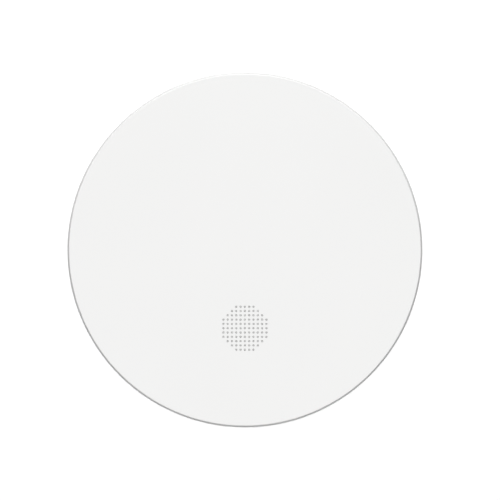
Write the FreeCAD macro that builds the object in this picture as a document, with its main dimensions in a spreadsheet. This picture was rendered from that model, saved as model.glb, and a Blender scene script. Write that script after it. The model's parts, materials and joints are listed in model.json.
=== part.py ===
import FreeCAD, Part
import math
import os
import re
import Sketcher

# A round smoke alarm that hangs under a ceiling.
# Z = 0 is the ceiling side of the mounting plate, and +Z points out through the flat front face.
# The middle of the plate's back is the origin.

# Driving dimensions: name, value in millimetres or degrees, meaning
SIZES = [
    # Mounting plate
    ("plate_thickness", 2.0, "floor of the mounting plate"),
    ("plate_bore_radius", 26.0, "opening in the middle of the mounting plate"),
    ("rim_height", 5.2, "top of the plate's rim above the ceiling"),
    ("rim_wall", 1.6, "wall of the plate's rim and of its inner lip"),
    ("lip_height", 3.5, "top of the plate's inner lip above the ceiling"),
    ("slot_circle", 35.0, "middle of the plate to the middle of a screw slot"),
    ("slot_width", 4.5, "width of a screw slot"),
    ("slot_length", 9.0, "length of a screw slot, round ends included"),
    ("rib_count", 8, "stiffening ribs on the plate"),
    ("rib_width", 1.2, "width of a stiffening rib"),
    ("rib_height", 1.3, "height of a stiffening rib above the plate's floor"),
    # Bayonet between plate and head
    ("bayonet_count", 3, "tabs on the plate and lugs on the head"),
    ("tab_reach", 2.6, "how far a tab stands out from the rim"),
    ("tab_thickness", 1.3, "thickness of a tab"),
    ("tab_angle", 18.0, "arc that a tab covers"),
    ("tab_lead_in", 0.7, "chamfer where a lug slides under a tab"),
    ("lug_angle", 16.0, "arc that a lug covers"),
    ("lug_thickness", 1.4, "thickness of a lug"),
    ("lug_gap", 0.4, "clearance between the rim and a lug"),
    ("tab_gap", 0.6, "clearance between a tab and the head's recess"),
    ("axial_gap", 0.3, "clearance along the axis between plate and head"),
    ("stop_angle", 2.4, "arc that an end stop covers"),
    ("stop_play", 0.4, "angle between a locked lug and its end stop"),
    # Battery cell and its bay
    ("cell_radius", 8.4, "battery"),
    ("cell_length", 34.2, "battery, button included"),
    ("cell_button_radius", 3.2, "positive button of the battery"),
    ("cell_button_height", 1.0, "positive button of the battery"),
    ("cell_offset", 2.5, "battery axis below the middle of the alarm"),
    ("cell_seat_gap", 0.3, "clearance between battery and hatch"),
    ("side_gap", 0.4, "clearance round the battery in its bay"),
    ("bay_wall", 1.5, "wall of the battery bay"),
    ("positive_room", 0.7, "space for the positive contact"),
    ("negative_room", 3.1, "space for the negative contact"),
    ("contact_thickness", 0.4, "sheet of the battery contacts"),
    ("contact_width", 6.0, "width of the battery contacts"),
    ("contact_leg_reach", 1.7, "end wall of the bay to a contact's outer leg"),
    ("contact_bridge_rise", 4.9, "where a contact crosses the end wall, above the battery axis"),
    ("contact_foot_drop", 4.3, "how far a contact reaches below the battery axis"),
    ("contact_tail_rise", 2.4, "end of the springy contact above the battery axis"),
    ("contact_slot_gap", 0.3, "clearance round a contact in the end wall"),
    # Hatch on the back
    ("hatch_thickness", 1.6, "battery hatch"),
    ("hatch_gap", 0.3, "clearance round the hatch"),
    ("hatch_ledge", 1.3, "ledge that the hatch closes on"),
    ("opening_margin", 0.8, "hatch opening beyond the end of the bay"),
    ("collar_height", 1.8, "thick collar round the foot of the bay"),
    ("collar_wall", 1.7, "collar beyond the hatch opening"),
    ("barrel_radius", 1.2, "round edge of the hatch at its hinge"),
    ("barrel_drop", 1.3, "hinge axis inside the back face"),
    ("trough_reach", 2.0, "hinge trough beyond the hinge axis"),
    ("trough_gap", 0.3, "clearance over the hinge barrel"),
    ("stub_radius", 0.6, "hinge stub"),
    ("stub_length", 1.2, "hinge stub"),
    ("stub_gap", 0.1, "running clearance of a hinge stub"),
    ("pull_width", 11.0, "finger pull of the hatch"),
    ("pull_reach", 2.2, "finger pull of the hatch"),
    ("pull_thickness", 1.0, "finger pull of the hatch"),
    ("cradle_offset", 6.5, "cradle rib to the battery axis"),
    ("cradle_width", 1.0, "cradle rib"),
    ("cradle_height", 2.2, "cradle rib above the hatch"),
    ("cradle_length", 26.0, "cradle rib"),
    # Rear housing
    ("ceiling_gap", 1.0, "bottom edge of the head above the ceiling"),
    ("floor_thickness", 2.0, "floor of the rear housing"),
    ("housing_wall", 1.5, "side wall of the rear housing"),
    ("side_bulge", 1.3, "how far the side swells from foot to joint"),
    ("side_curve_radius", 120.0, "curve of the side"),
    ("boss_radius", 3.2, "screw boss between the housings"),
    ("boss_margin", 0.4, "circuit board to a screw boss"),
    ("boss_wall_gap", 0.7, "screw boss to the side wall"),
    ("boss_turn", 60.0, "angle of the first screw boss"),
    ("boss_count", 3, "screw bosses"),
    ("screw_head_radius", 2.3, "housing screw"),
    ("screw_head_height", 1.8, "housing screw"),
    ("screw_head_depth", 2.5, "seat of the screw head inside the back face"),
    ("screw_head_gap", 0.2, "clearance round a screw head"),
    ("screw_radius", 1.3, "housing screw shank"),
    ("screw_length", 14.0, "housing screw below its head"),
    ("screw_hole_gap", 0.2, "clearance round a screw shank"),
    ("screw_bite", 0.2, "pilot hole under the screw's radius"),
    ("screw_tip_room", 1.0, "pilot hole beyond the tip of a screw"),
    ("drive_radius", 0.9, "cross recess of a screw"),
    ("drive_depth", 0.8, "cross recess of a screw"),
    ("drive_width", 0.5, "cross recess of a screw"),
    # Inlet housing
    ("deck_gap", 0.9, "battery bay to the deck"),
    ("deck_thickness", 1.8, "deck under the cover"),
    ("inlet_height", 8.5, "joint of the housings to the deck"),
    ("inlet_step", 1.0, "how far the inlet ring stands back from the rear housing"),
    ("inlet_wall", 1.8, "wall of the inlet ring"),
    ("inlet_edge", 0.6, "round edge of the deck"),
    ("spigot_depth", 1.5, "spigot of the inlet ring inside the rear housing"),
    ("spigot_gap", 0.2, "clearance round the spigot"),
    ("louvre_count", 60, "inlet openings"),
    ("louvre_width", 3.4, "width of an inlet opening"),
    ("louvre_skew", 25.0, "turn of an inlet opening from the radius"),
    ("louvre_sill", 2.0, "solid band under the inlet openings"),
    ("louvre_head", 0.7, "solid band over the inlet openings"),
    ("cut_margin", 0.3, "how far a cut runs past the wall that it opens"),
    ("join_overlap", 0.5, "how far a rib or tab runs into the wall that carries it"),
    # Circuit board
    ("board_thickness", 1.6, "circuit board"),
    ("board_standoff", 3.7, "height of the board posts"),
    ("board_margin", 0.4, "board beyond the smoke chamber"),
    ("board_cutout_gap", 0.5, "clearance between board and battery bay"),
    ("post_radius", 2.8, "board post"),
    ("post_inset", 6.0, "board edge to a board post"),
    ("post_turn_upper", 15.0, "angle of the upper pair of posts above the X axis"),
    ("post_turn_lower", 55.0, "angle of the lower pair of posts below the X axis"),
    ("board_screw_radius", 1.1, "board screw"),
    ("board_screw_length", 4.6, "board screw below its head"),
    ("board_screw_head_radius", 2.0, "board screw"),
    ("board_screw_head_height", 1.4, "board screw"),
    # Smoke chamber
    ("chamber_radius", 18.4, "smoke chamber, flanges"),
    ("chamber_gap", 1.0, "battery bay to the smoke chamber"),
    ("chamber_floor", 1.4, "floor of the smoke chamber"),
    ("chamber_height", 13.0, "smoke chamber, with its cap"),
    ("cap_thickness", 1.4, "cap of the smoke chamber"),
    ("flange_lip", 0.35, "lip that centres the insect screen"),
    ("flange_lip_height", 0.5, "lip that centres the insect screen"),
    ("screen_thickness", 0.3, "insect screen"),
    ("screen_gap", 0.05, "clearance between insect screen and lip"),
    ("screen_columns", 32, "windows round the insect screen"),
    ("screen_window_width", 2.3, "window of the insect screen"),
    ("screen_bar", 0.9, "bars over, between and under the rows of windows"),
    ("vane_count", 18, "labyrinth vanes"),
    ("vane_thickness", 0.95, "labyrinth vane, measured square to the radius"),
    ("vane_outer_gap", 0.6, "vane to the insect screen"),
    ("vane_depth", 3.6, "labyrinth vane, measured along the radius"),
    ("vane_swing", 1.7, "how far the elbow of a vane stands to the side"),
    ("optic_height", 5.0, "optical axis above the chamber floor"),
    ("optic_radius", 1.5, "emitter and photodiode"),
    ("optic_length", 4.6, "emitter and photodiode"),
    ("optic_inner", 7.6, "front of the optics to the middle of the chamber"),
    ("optic_turn", 62.0, "angle of each of the optics below the X axis"),
    ("optic_gap", 0.1, "clearance of the optics in their holders"),
    ("optic_lead_width", 0.5, "leads of the optics"),
    ("optic_lead_pitch", 2.54, "leads of the optics, middle to middle"),
    ("emitter_nose", 1.35, "round nose of the emitter"),
    ("photodiode_nose", 0.75, "round nose of the photodiode"),
    ("holder_wall", 0.9, "walls of the optics holders"),
    ("holder_length", 3.6, "holders of the optics, along the optical axis"),
    ("cap_ring_gap", 0.3, "hold-down ring of the deck to the chamber's cap"),
    ("cap_ring_radius", 16.0, "hold-down ring of the deck"),
    ("cap_ring_wall", 1.2, "hold-down ring of the deck"),
    # Sounder
    ("sounder_radius", 12.4, "sounder, outside"),
    ("sounder_gap", 7.0, "battery bay to the sounder"),
    ("sounder_wall", 1.2, "walls of the sounder"),
    ("sounder_stand", 3.6, "board to the brass disc"),
    ("sounder_shelf_width", 1.6, "shelf that the brass disc lies against"),
    ("resonator_height", 2.6, "air space over the brass disc"),
    ("throat_radius", 3.2, "throat of the horn"),
    ("mouth_radius", 8.7, "mouth of the horn"),
    ("mouth_gap", 0.3, "horn to the deck"),
    ("mouth_margin", 0.8, "deck opening beyond the horn's mouth"),
    ("disc_thickness", 0.25, "brass disc"),
    ("disc_gap", 0.2, "clearance round the brass disc"),
    ("ceramic_radius", 7.5, "ceramic on the brass disc"),
    ("ceramic_thickness", 0.2, "ceramic on the brass disc"),
    ("spring_strip_count", 3, "sounder contacts"),
    ("spring_strip_thickness", 0.2, "sounder contacts"),
    ("spring_strip_width", 1.8, "sounder contacts"),
    ("spring_strip_inner", 5.6, "tip of a sounder contact to the sounder axis"),
    ("spring_strip_outer", 9.6, "foot of a sounder contact to the sounder axis"),
    ("spring_strip_play", 0.05, "tip of a sounder contact to the ceramic"),
    ("grille_bar_width", 1.2, "guard bar across the deck opening"),
    # Light
    ("led_gap", 4.9, "battery bay to the status light"),
    ("led_length", 3.5, "status light"),
    ("led_width", 2.8, "status light"),
    ("led_height", 0.8, "status light, case"),
    ("led_lens_radius", 1.1, "status light, lens"),
    ("led_lens_height", 0.4, "status light, lens"),
    ("guide_radius", 1.4, "light guide"),
    ("guide_flange_radius", 2.2, "light guide"),
    ("guide_flange_height", 0.8, "light guide"),
    ("guide_gap", 0.3, "status light to the light guide"),
    ("guide_side_gap", 0.15, "clearance round the light guide in the deck"),
    ("guide_top_gap", 0.4, "light guide to the pressed gauze"),
    # Test switch
    ("switch_offset", 32.0, "switch to the middle of the alarm"),
    ("switch_width", 6.0, "switch, square case"),
    ("switch_height", 3.5, "switch case"),
    ("switch_well_depth", 2.4, "well of the plunger in the switch case"),
    ("switch_foot", 0.9, "feet of the switch"),
    ("switch_foot_offset", 2.0, "foot of the switch to its middle"),
    ("switch_foot_height", 0.3, "feet of the switch"),
    ("plunger_radius", 1.75, "switch plunger"),
    ("plunger_gap", 0.08, "running clearance of the plunger"),
    ("plunger_rise", 0.8, "plunger above the switch case"),
    ("plunger_depth", 1.2, "plunger inside the switch case"),
    ("post_play", 0.1, "cover post to the plunger"),
    # Board parts
    ("chip_width", 7.0, "microcontroller"),
    ("chip_height", 1.0, "microcontroller"),
    ("chip_bevel", 0.5, "microcontroller, marked corner"),
    ("chip_across", 33.0, "microcontroller, place"),
    ("chip_along", 4.0, "microcontroller, place"),
    ("resistor_rows", 2, "chip resistors"),
    ("resistor_columns", 4, "chip resistors"),
    ("resistor_length", 2.0, "chip resistor"),
    ("resistor_width", 1.25, "chip resistor"),
    ("resistor_height", 0.6, "chip resistor"),
    ("resistor_pitch", 2.6, "chip resistors, middle to middle"),
    ("resistor_across", 25.5, "first chip resistor, place"),
    ("resistor_along", 4.5, "first chip resistor, place"),
    ("capacitor_radius", 3.15, "electrolytic capacitor"),
    ("capacitor_height", 7.7, "electrolytic capacitor"),
    ("capacitor_crimp", 0.3, "groove of a capacitor and round edge of its top"),
    ("capacitor_crimp_rise", 1.2, "board to the groove of a capacitor"),
    ("capacitor_across", 31.0, "outer capacitor, place"),
    ("capacitor_along", 14.0, "outer capacitor, place"),
    ("capacitor_pitch", 8.0, "capacitors, step both ways"),
    ("coil_radius", 4.0, "sounder coil, flanges"),
    ("coil_height", 8.0, "sounder coil"),
    ("coil_flange", 1.0, "sounder coil"),
    ("coil_winding_depth", 0.7, "winding inside the edge of the flanges"),
    ("coil_across", 31.0, "sounder coil, place"),
    ("coil_along", 19.0, "sounder coil, place"),
    # Front cover
    ("cover_overhang", 3.0, "front cover beyond the rear housing"),
    ("cover_thickness", 1.8, "front cover"),
    ("cover_skirt", 3.2, "depth of the cover's edge"),
    ("cover_wall", 1.6, "wall of the cover's edge"),
    ("cover_edge", 0.25, "round edge of the front face"),
    ("cover_draft", 13.0, "slope of the cover's edge, wider towards the ceiling"),
    ("cover_travel", 0.6, "how far the cover is pressed in"),
    ("press_gap", 0.8, "cover to the deck when pressed"),
    ("hole_pitch", 1.4, "square grid of the sound holes"),
    ("hole_radius", 0.35, "sound hole"),
    ("field_radius", 7.6, "reach of the field of sound holes"),
    ("field_offset", 25.5, "middle of the field below the middle of the cover"),
    ("gauze_radius", 10.0, "dust gauze"),
    ("gauze_thickness", 0.3, "dust gauze"),
    ("gauze_frame_gap", 0.2, "clearance round the dust gauze"),
    ("gauze_frame_wall", 1.0, "ring round the dust gauze"),
    ("gauze_frame_height", 0.6, "ring round the dust gauze"),
    ("post_top_radius", 2.2, "switch post of the cover at its root"),
    ("post_tip_radius", 1.5, "switch post of the cover at its tip"),
    ("post_hole_gap", 0.4, "clearance round the switch post in the deck"),
    ("hook_inset", 4.7, "inlet ring to a snap hook"),
    ("hook_thickness", 1.2, "snap hook"),
    ("hook_width", 5.0, "snap hook"),
    ("hook_barb", 1.0, "barb of a snap hook"),
    ("hook_barb_height", 1.3, "barb of a snap hook"),
    ("hook_tip", 0.4, "flat below the barb of a snap hook"),
    ("hook_play", 0.1, "barb to the deck"),
    ("hook_window_gap", 0.4, "clearance round a snap hook in the deck"),
    # Cover springs
    ("coil_mean_radius", 1.9, "cover spring, middle of the wire"),
    ("coil_wire_radius", 0.2, "cover spring"),
    ("coil_turns", 4, "cover spring"),
    ("cup_radius", 3.5, "spring cup, outside"),
    ("cup_wall", 0.9, "spring cup"),
    ("cup_depth", 3.2, "spring cup below the top of the deck"),
    ("cup_floor", 1.0, "spring cup"),
    ("cup_gap", 1.4, "spring cup to a screw boss"),
    ("pin_radius", 1.3, "pin of the cover inside a spring"),
    ("pin_length", 1.6, "pin of the cover inside a spring"),
]

# Levels above the ceiling, from the back to the front face
FLOOR_LOW = "(rim_height + axial_gap)"
FLOOR_TOP = f"({FLOOR_LOW} + floor_thickness)"
BOARD_LOW = f"({FLOOR_TOP} + board_standoff)"
BOARD_TOP = f"({BOARD_LOW} + board_thickness)"
CELL_AXIS = f"({FLOOR_LOW} + hatch_thickness + cell_seat_gap + cell_radius)"
ROOF_TOP = f"({CELL_AXIS} + cell_radius + side_gap + bay_wall)"
DECK_LOW = f"({ROOF_TOP} + deck_gap)"
DECK_TOP = f"({DECK_LOW} + deck_thickness)"
JOINT = f"({DECK_LOW} - inlet_height)"
BOSS_TOP = f"({JOINT} - spigot_depth)"
COVER_LOW = f"({DECK_TOP} + cover_travel + press_gap)"
FACE = f"({COVER_LOW} + cover_thickness)"
LUG_TOP = "(rim_height - tab_thickness - axial_gap)"
HEAD_SEAT = f"({FLOOR_LOW} + screw_head_depth)"
CHAMBER_FLOOR_TOP = f"({BOARD_TOP} + chamber_floor)"
CHAMBER_TOP = f"({BOARD_TOP} + chamber_height)"
CAP_LOW = f"({CHAMBER_TOP} - cap_thickness)"
OPTIC_AXIS = f"({CHAMBER_FLOOR_TOP} + optic_height)"
DISC_LOW = f"({BOARD_TOP} + sounder_stand)"
SHELF_LOW = f"({DISC_LOW} + disc_thickness)"
SWITCH_TOP = f"({BOARD_TOP} + switch_height)"
PLUNGER_TOP = f"({SWITCH_TOP} + plunger_rise)"
CUP_SEAT = f"({DECK_TOP} - cup_depth)"
BRIDGE = f"({CELL_AXIS} + contact_bridge_rise)"
HINGE_Z = f"({FLOOR_LOW} + barrel_drop)"

# Places across the alarm: the bay comes first, then the chamber beside it, the board round both,
# the screw bosses outside the board, and the shells outside the bosses
BAY_END = "((cell_length + positive_room + negative_room) / 2)"
BAY_BORE = "(cell_radius + side_gap)"
BAY_SOUTH = f"(-cell_offset - {BAY_BORE})"
BAY_NORTH = f"(-cell_offset + {BAY_BORE})"
BAY_OUTER_SOUTH = f"({BAY_SOUTH} - bay_wall)"
BAY_OUTER_NORTH = f"({BAY_NORTH} + bay_wall)"
OPENING_END = f"({BAY_END} + opening_margin)"
OPENING_NORTH = f"({BAY_NORTH} + hatch_ledge)"
HINGE_Y = f"({BAY_SOUTH} - barrel_radius)"
TROUGH_SOUTH = f"({HINGE_Y} - trough_reach)"
CHAMBER_Y = f"({BAY_OUTER_NORTH} + chamber_gap + chamber_radius)"
SOUNDER_Y = f"({BAY_OUTER_SOUTH} - sounder_gap - sounder_radius)"
LED_Y = f"({BAY_OUTER_SOUTH} - led_gap)"
BOARD_RADIUS = f"({CHAMBER_Y} + chamber_radius + board_margin)"
POST_CIRCLE = f"({BOARD_RADIUS} - post_inset)"
BOSS_CIRCLE = f"({BOARD_RADIUS} + boss_margin + boss_radius)"
HOUSING_INNER = f"({BOSS_CIRCLE} + boss_radius + boss_wall_gap)"
HOUSING_RADIUS = f"({HOUSING_INNER} + housing_wall)"
FOOT_RADIUS = f"({HOUSING_RADIUS} - side_bulge)"
RECESS_RADIUS = f"({FOOT_RADIUS} - housing_wall)"
PLATE_RADIUS = f"({RECESS_RADIUS} - tab_gap - tab_reach)"
LUG_RADIUS = f"({PLATE_RADIUS} + lug_gap)"
INLET_RADIUS = f"({HOUSING_RADIUS} - inlet_step)"
INLET_INNER = f"({INLET_RADIUS} - inlet_wall)"
COVER_RADIUS = f"({HOUSING_RADIUS} + cover_overhang)"
HOOK_RADIUS = f"({INLET_INNER} - hook_inset)"
SPRING_CIRCLE = f"({BOSS_CIRCLE} - boss_radius - cup_gap - cup_radius)"
SCREEN_OUTER = "(chamber_radius - flange_lip - screen_gap)"
SCREEN_INNER = f"({SCREEN_OUTER} - screen_thickness)"
VANE_OUTER = f"({SCREEN_INNER} - vane_outer_gap)"
CONTACT_LEG = f"({BAY_END} + bay_wall + contact_leg_reach)"

# How near a point must be to count as being at a level (mm) or at an angle (degrees)
LEVEL_TOLERANCE = 0.01
ANGLE_TOLERANCE = 0.2

doc = FreeCAD.newDocument("smoke_alarm")
dims = doc.addObject("Spreadsheet::Sheet", "dims")
nodes = []


def fill_sheet():
    """Write every driving dimension into the sheet, with its name as alias."""
    for row, (name, number, meaning) in enumerate(SIZES, 1):
        dims.set(f"A{row}", name)
        dims.set(f"B{row}", str(number))
        dims.set(f"C{row}", meaning)
        dims.setAlias(f"B{row}", name)
    doc.recompute()


def on_sheet(text):
    """Turn the words of a formula into references to the sheet, and leave cos() and sin() alone."""
    return re.sub(r"\b([a-z][a-z_]+)\b(?!\()", r"dims.\1", text)


def value(text):
    """The present value of a formula in words."""
    return float(dims.evalExpression(on_sheet(text)))


def bind(thing, prop, text):
    """Tie a property to a formula in words."""
    thing.setExpression(prop, on_sheet(text))


# Sketches: the points of an edge as constraints number them
START, END, CENTRE = 1, 2, 3
LEVEL_AXIS, UPRIGHT_AXIS = -1, -2


def new_body(name, x=None, y=None, z=None, turn=None):
    """A body for one sub-part, moved and turned about Z where it is asked for."""
    body = doc.addObject("PartDesign::Body", name)
    body.Label = name
    body.AllowCompound = True
    if turn:
        body.Placement = FreeCAD.Placement(FreeCAD.Vector(), FreeCAD.Rotation(FreeCAD.Vector(0, 0, 1), 1))
        bind(body, "Placement.Rotation.Angle", turn)
    for axis, text in (("x", x), ("y", y), ("z", z)):
        if text:
            bind(body, f"Placement.Base.{axis}", text)
    nodes.append(body)
    return body


def origin_feature(body, role):
    return next(feature for feature in body.Origin.OriginFeatures if feature.Role == role)


def sketch_on(body, name, plane, x=None, y=None, lift=None, turn=None):
    """A sketch on one of the body's origin planes, lifted off it and turned about the alarm's axis."""
    sketch = body.newObject("Sketcher::SketchObject", name)
    sketch.AttachmentSupport = [(origin_feature(body, plane), "")]
    sketch.MapMode = "FlatFace"
    if turn:
        axis = FreeCAD.Vector(0, 0, 1) if plane == "XY_Plane" else FreeCAD.Vector(0, 1, 0)
        sketch.AttachmentOffset = FreeCAD.Placement(FreeCAD.Vector(), FreeCAD.Rotation(axis, 1))
        bind(sketch, "AttachmentOffset.Rotation.Angle", turn)
    for axis, text in (("x", x), ("y", y), ("z", lift)):
        if text:
            bind(sketch, f"AttachmentOffset.Base.{axis}", text)
    return sketch


def pin_down(sketch, edge, point, x, y):
    """Fix one point of an edge at (x, y), both formulas in words."""
    for kind, text, axis in (("DistanceX", x, UPRIGHT_AXIS), ("DistanceY", y, LEVEL_AXIS)):
        if text == "0":
            sketch.addConstraint(Sketcher.Constraint("PointOnObject", edge, point, axis))
        elif text:
            index = sketch.addConstraint(
                Sketcher.Constraint(kind, LEVEL_AXIS, START, edge, point, value(text)))
            bind(sketch, f"Constraints[{index}]", text)


def arc_geometry(start, end, way, fixed, level):
    """An arc from start to end whose centre has the given x or y; way is ccw or cw."""
    (ax, ay), (bx, by) = start, end
    square = bx * bx - ax * ax + by * by - ay * ay
    if fixed == "x":
        centre = (level, (square - 2 * level * (bx - ax)) / (2 * (by - ay)))
    else:
        centre = ((square - 2 * level * (by - ay)) / (2 * (bx - ax)), level)
    first, last = (start, end) if way == "ccw" else (end, start)
    angles = [math.atan2(point[1] - centre[1], point[0] - centre[0]) for point in (first, last)]
    radius = math.dist(centre, start)
    circle = Part.Circle(FreeCAD.Vector(*centre, 0), FreeCAD.Vector(0, 0, 1), radius)
    return Part.ArcOfCircle(circle, angles[0], angles[1] + (2 * math.pi if angles[1] < angles[0] else 0))


def outline(sketch, corners, closed=True):
    """Draw lines and arcs through corners.

    A corner is (x, y) in words. With a third item (way, x or y, formula), the edge that leaves the
    corner is an arc, ccw or cw, whose centre has that x or y.
    """
    spots = [(value(corner[0]), value(corner[1])) for corner in corners]
    count = len(corners) if closed else len(corners) - 1
    first_edge = sketch.GeometryCount
    ends = []
    for index in range(count):
        start, end = spots[index], spots[(index + 1) % len(spots)]
        if len(corners[index]) == 3:
            way, fixed, text = corners[index][2]
            sketch.addGeometry(arc_geometry(start, end, way, fixed, value(text)))
            ends.append((START, END) if way == "ccw" else (END, START))
        else:
            sketch.addGeometry(Part.LineSegment(FreeCAD.Vector(*start, 0), FreeCAD.Vector(*end, 0)))
            ends.append((START, END))
    for index in range(count if closed else count - 1):
        following = (index + 1) % count
        sketch.addConstraint(Sketcher.Constraint(
            "Coincident", first_edge + index, ends[index][1], first_edge + following, ends[following][0]))
    for index in range(count):
        pin_down(sketch, first_edge + index, ends[index][0], corners[index][0], corners[index][1])
        if len(corners[index]) == 3:
            way, fixed, text = corners[index][2]
            centre_x = text if fixed == "x" else ""
            centre_y = text if fixed == "y" else ""
            pin_down(sketch, first_edge + index, CENTRE, centre_x, centre_y)
    if not closed:
        pin_down(sketch, first_edge + count - 1, ends[-1][1], corners[-1][0], corners[-1][1])


def circle(sketch, x, y, radius):
    """A circle about (x, y)."""
    centre = FreeCAD.Vector(value(x), value(y), 0)
    edge = sketch.addGeometry(Part.Circle(centre, FreeCAD.Vector(0, 0, 1), value(radius)))
    pin_down(sketch, edge, CENTRE, x, y)
    index = sketch.addConstraint(Sketcher.Constraint("Radius", edge, value(radius)))
    bind(sketch, f"Constraints[{index}]", radius)


def rectangle(x_low, y_low, x_high, y_high):
    """The four corners of an upright rectangle."""
    return [(x_low, y_low), (x_high, y_low), (x_high, y_high), (x_low, y_high)]


def square_about(x, y, width, depth):
    """The four corners of a rectangle about its middle."""
    return rectangle(f"{x} - {width} / 2", f"{y} - {depth} / 2", f"{x} + {width} / 2", f"{y} + {depth} / 2")


# Features

def revolve(body, name, sketch, angle=None):
    """Turn a profile about its own vertical axis, all the way or through an angle centred on it."""
    feature = body.newObject("PartDesign::Revolution", name)
    feature.Profile = sketch
    feature.ReferenceAxis = (sketch, ["V_Axis"])
    feature.Angle = 360
    if angle:
        feature.Midplane = True
        bind(feature, "Angle", angle)
    return feature


def pad(body, name, sketch, length, symmetric=False, down=False):
    feature = body.newObject("PartDesign::Pad", name)
    feature.Profile = sketch
    feature.SideType = "Symmetric" if symmetric else "One side"
    feature.Reversed = down
    bind(feature, "Length", length)
    return feature


def pocket(body, name, sketch, length=None, symmetric=False, forward=False):
    """Cut a profile away: against the sketch's normal, along it, or to both sides."""
    feature = body.newObject("PartDesign::Pocket", name)
    feature.Profile = sketch
    feature.SideType = "Symmetric" if symmetric else "One side"
    feature.Reversed = forward
    if length:
        bind(feature, "Length", length)
    else:
        feature.Type = "ThroughAll"
    return feature


def repeat_round(body, name, features, count):
    """Repeat features evenly round the body's Z axis."""
    pattern = body.newObject("PartDesign::PolarPattern", name)
    pattern.Originals = features
    pattern.Axis = (origin_feature(body, "Z_Axis"), [""])
    pattern.Angle = 360
    bind(pattern, "Occurrences", count)
    body.Tip = pattern
    return pattern


def chamfer_where(body, name, size, chosen):
    """Chamfer the edges of the body whose middle point is chosen."""
    doc.recompute()
    base = body.Tip
    edges = []
    for number, edge in enumerate(base.Shape.Edges, 1):
        middle = edge.valueAt((edge.FirstParameter + edge.LastParameter) / 2)
        if chosen(middle, edge):
            edges.append(f"Edge{number}")
    feature = body.newObject("PartDesign::Chamfer", name)
    feature.Base = (base, edges)
    bind(feature, "Size", size)
    return feature


# Mounting plate

def slot_outline(along):
    """A round-ended slot whose length points away from the middle of the plate."""
    inner = "slot_circle - slot_length / 2 + slot_width / 2"
    outer = "slot_circle + slot_length / 2 - slot_width / 2"
    half = "slot_width / 2"
    if along == "x":
        return [(inner, f"-{half}"), (outer, f"-{half}", ("ccw", "x", outer)),
                (outer, half), (inner, half, ("ccw", "x", inner))]
    return [(half, inner), (half, outer, ("ccw", "y", outer)),
            (f"-{half}", outer), (f"-{half}", inner, ("ccw", "y", inner))]


def make_mounting_plate():
    """A ring that is screwed to the ceiling, with a rim, three bayonet tabs and their end stops."""
    body = new_body("mounting_plate")
    profile = sketch_on(body, "plate_profile", "XZ_Plane")
    outline(profile, [
        ("plate_bore_radius", "0"), (PLATE_RADIUS, "0"), (PLATE_RADIUS, "rim_height"),
        (f"{PLATE_RADIUS} - rim_wall", "rim_height"), (f"{PLATE_RADIUS} - rim_wall", "plate_thickness"),
        ("plate_bore_radius + rim_wall", "plate_thickness"), ("plate_bore_radius + rim_wall", "lip_height"),
        ("plate_bore_radius", "lip_height")])
    revolve(body, "plate_ring", profile)

    rib = sketch_on(body, "plate_rib_outline", "XY_Plane", lift="plate_thickness", turn="180 / rib_count")
    outline(rib, rectangle("plate_bore_radius + rim_wall - join_overlap", "-rib_width / 2",
                           f"{PLATE_RADIUS} - rim_wall + join_overlap", "rib_width / 2"))
    ribs = pad(body, "plate_rib", rib, "rib_height")
    repeat_round(body, "plate_ribs", [ribs], "rib_count")

    tab = sketch_on(body, "tab_profile", "XZ_Plane")
    outline(tab, rectangle(f"{PLATE_RADIUS} - join_overlap", "rim_height - tab_thickness",
                           f"{PLATE_RADIUS} + tab_reach", "rim_height"))
    first_tab = revolve(body, "tab", tab, "tab_angle")
    stop_turn = "-(lug_angle / 2 + stop_play + stop_angle / 2)"
    stop = sketch_on(body, "stop_profile", "XZ_Plane", turn=stop_turn)
    outline(stop, rectangle(f"{PLATE_RADIUS} - join_overlap", "plate_thickness",
                            f"{PLATE_RADIUS} + tab_reach", "rim_height"))
    first_stop = revolve(body, "end_stop", stop, "stop_angle")
    repeat_round(body, "bayonet_tabs", [first_tab, first_stop], "bayonet_count")

    for along, name in (("x", "slot_across"), ("y", "slot_along")):
        for side, turn in (("first", None), ("second", "180")):
            slot = sketch_on(body, f"{name}_{side}_outline", "XY_Plane", lift="plate_thickness", turn=turn)
            outline(slot, slot_outline(along))
            pocket(body, f"{name}_{side}", slot)

    low = value("rim_height - tab_thickness")
    entry = value("tab_angle / 2")
    spacing = 360 / value("bayonet_count")

    def is_entry_edge(middle, edge):
        angle = math.degrees(math.atan2(middle.y, middle.x)) % spacing
        outside = math.hypot(middle.x, middle.y) > value(PLATE_RADIUS)
        at_level = abs(middle.z - low) < LEVEL_TOLERANCE
        return at_level and outside and abs(angle - entry) < ANGLE_TOLERANCE

    chamfer_where(body, "tab_lead_ins", "tab_lead_in", is_entry_edge)


# Rear housing

def tunnel(bore, low):
    """Cross-section of the battery bay: straight sides and a round roof about the battery axis."""
    return [(f"-cell_offset - {bore}", low), (f"-cell_offset + {bore}", low),
            (f"-cell_offset + {bore}", CELL_AXIS, ("ccw", "y", CELL_AXIS)),
            (f"-cell_offset - {bore}", CELL_AXIS)]


def post_places():
    """The four board posts, as pairs of formulas."""
    upper = (f"{POST_CIRCLE} * cos(post_turn_upper)", f"{POST_CIRCLE} * sin(post_turn_upper)")
    lower = (f"{POST_CIRCLE} * cos(post_turn_lower)", f"-{POST_CIRCLE} * sin(post_turn_lower)")
    return [upper, lower, (f"-{upper[0]}", upper[1]), (f"-{lower[0]}", lower[1])]


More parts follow.
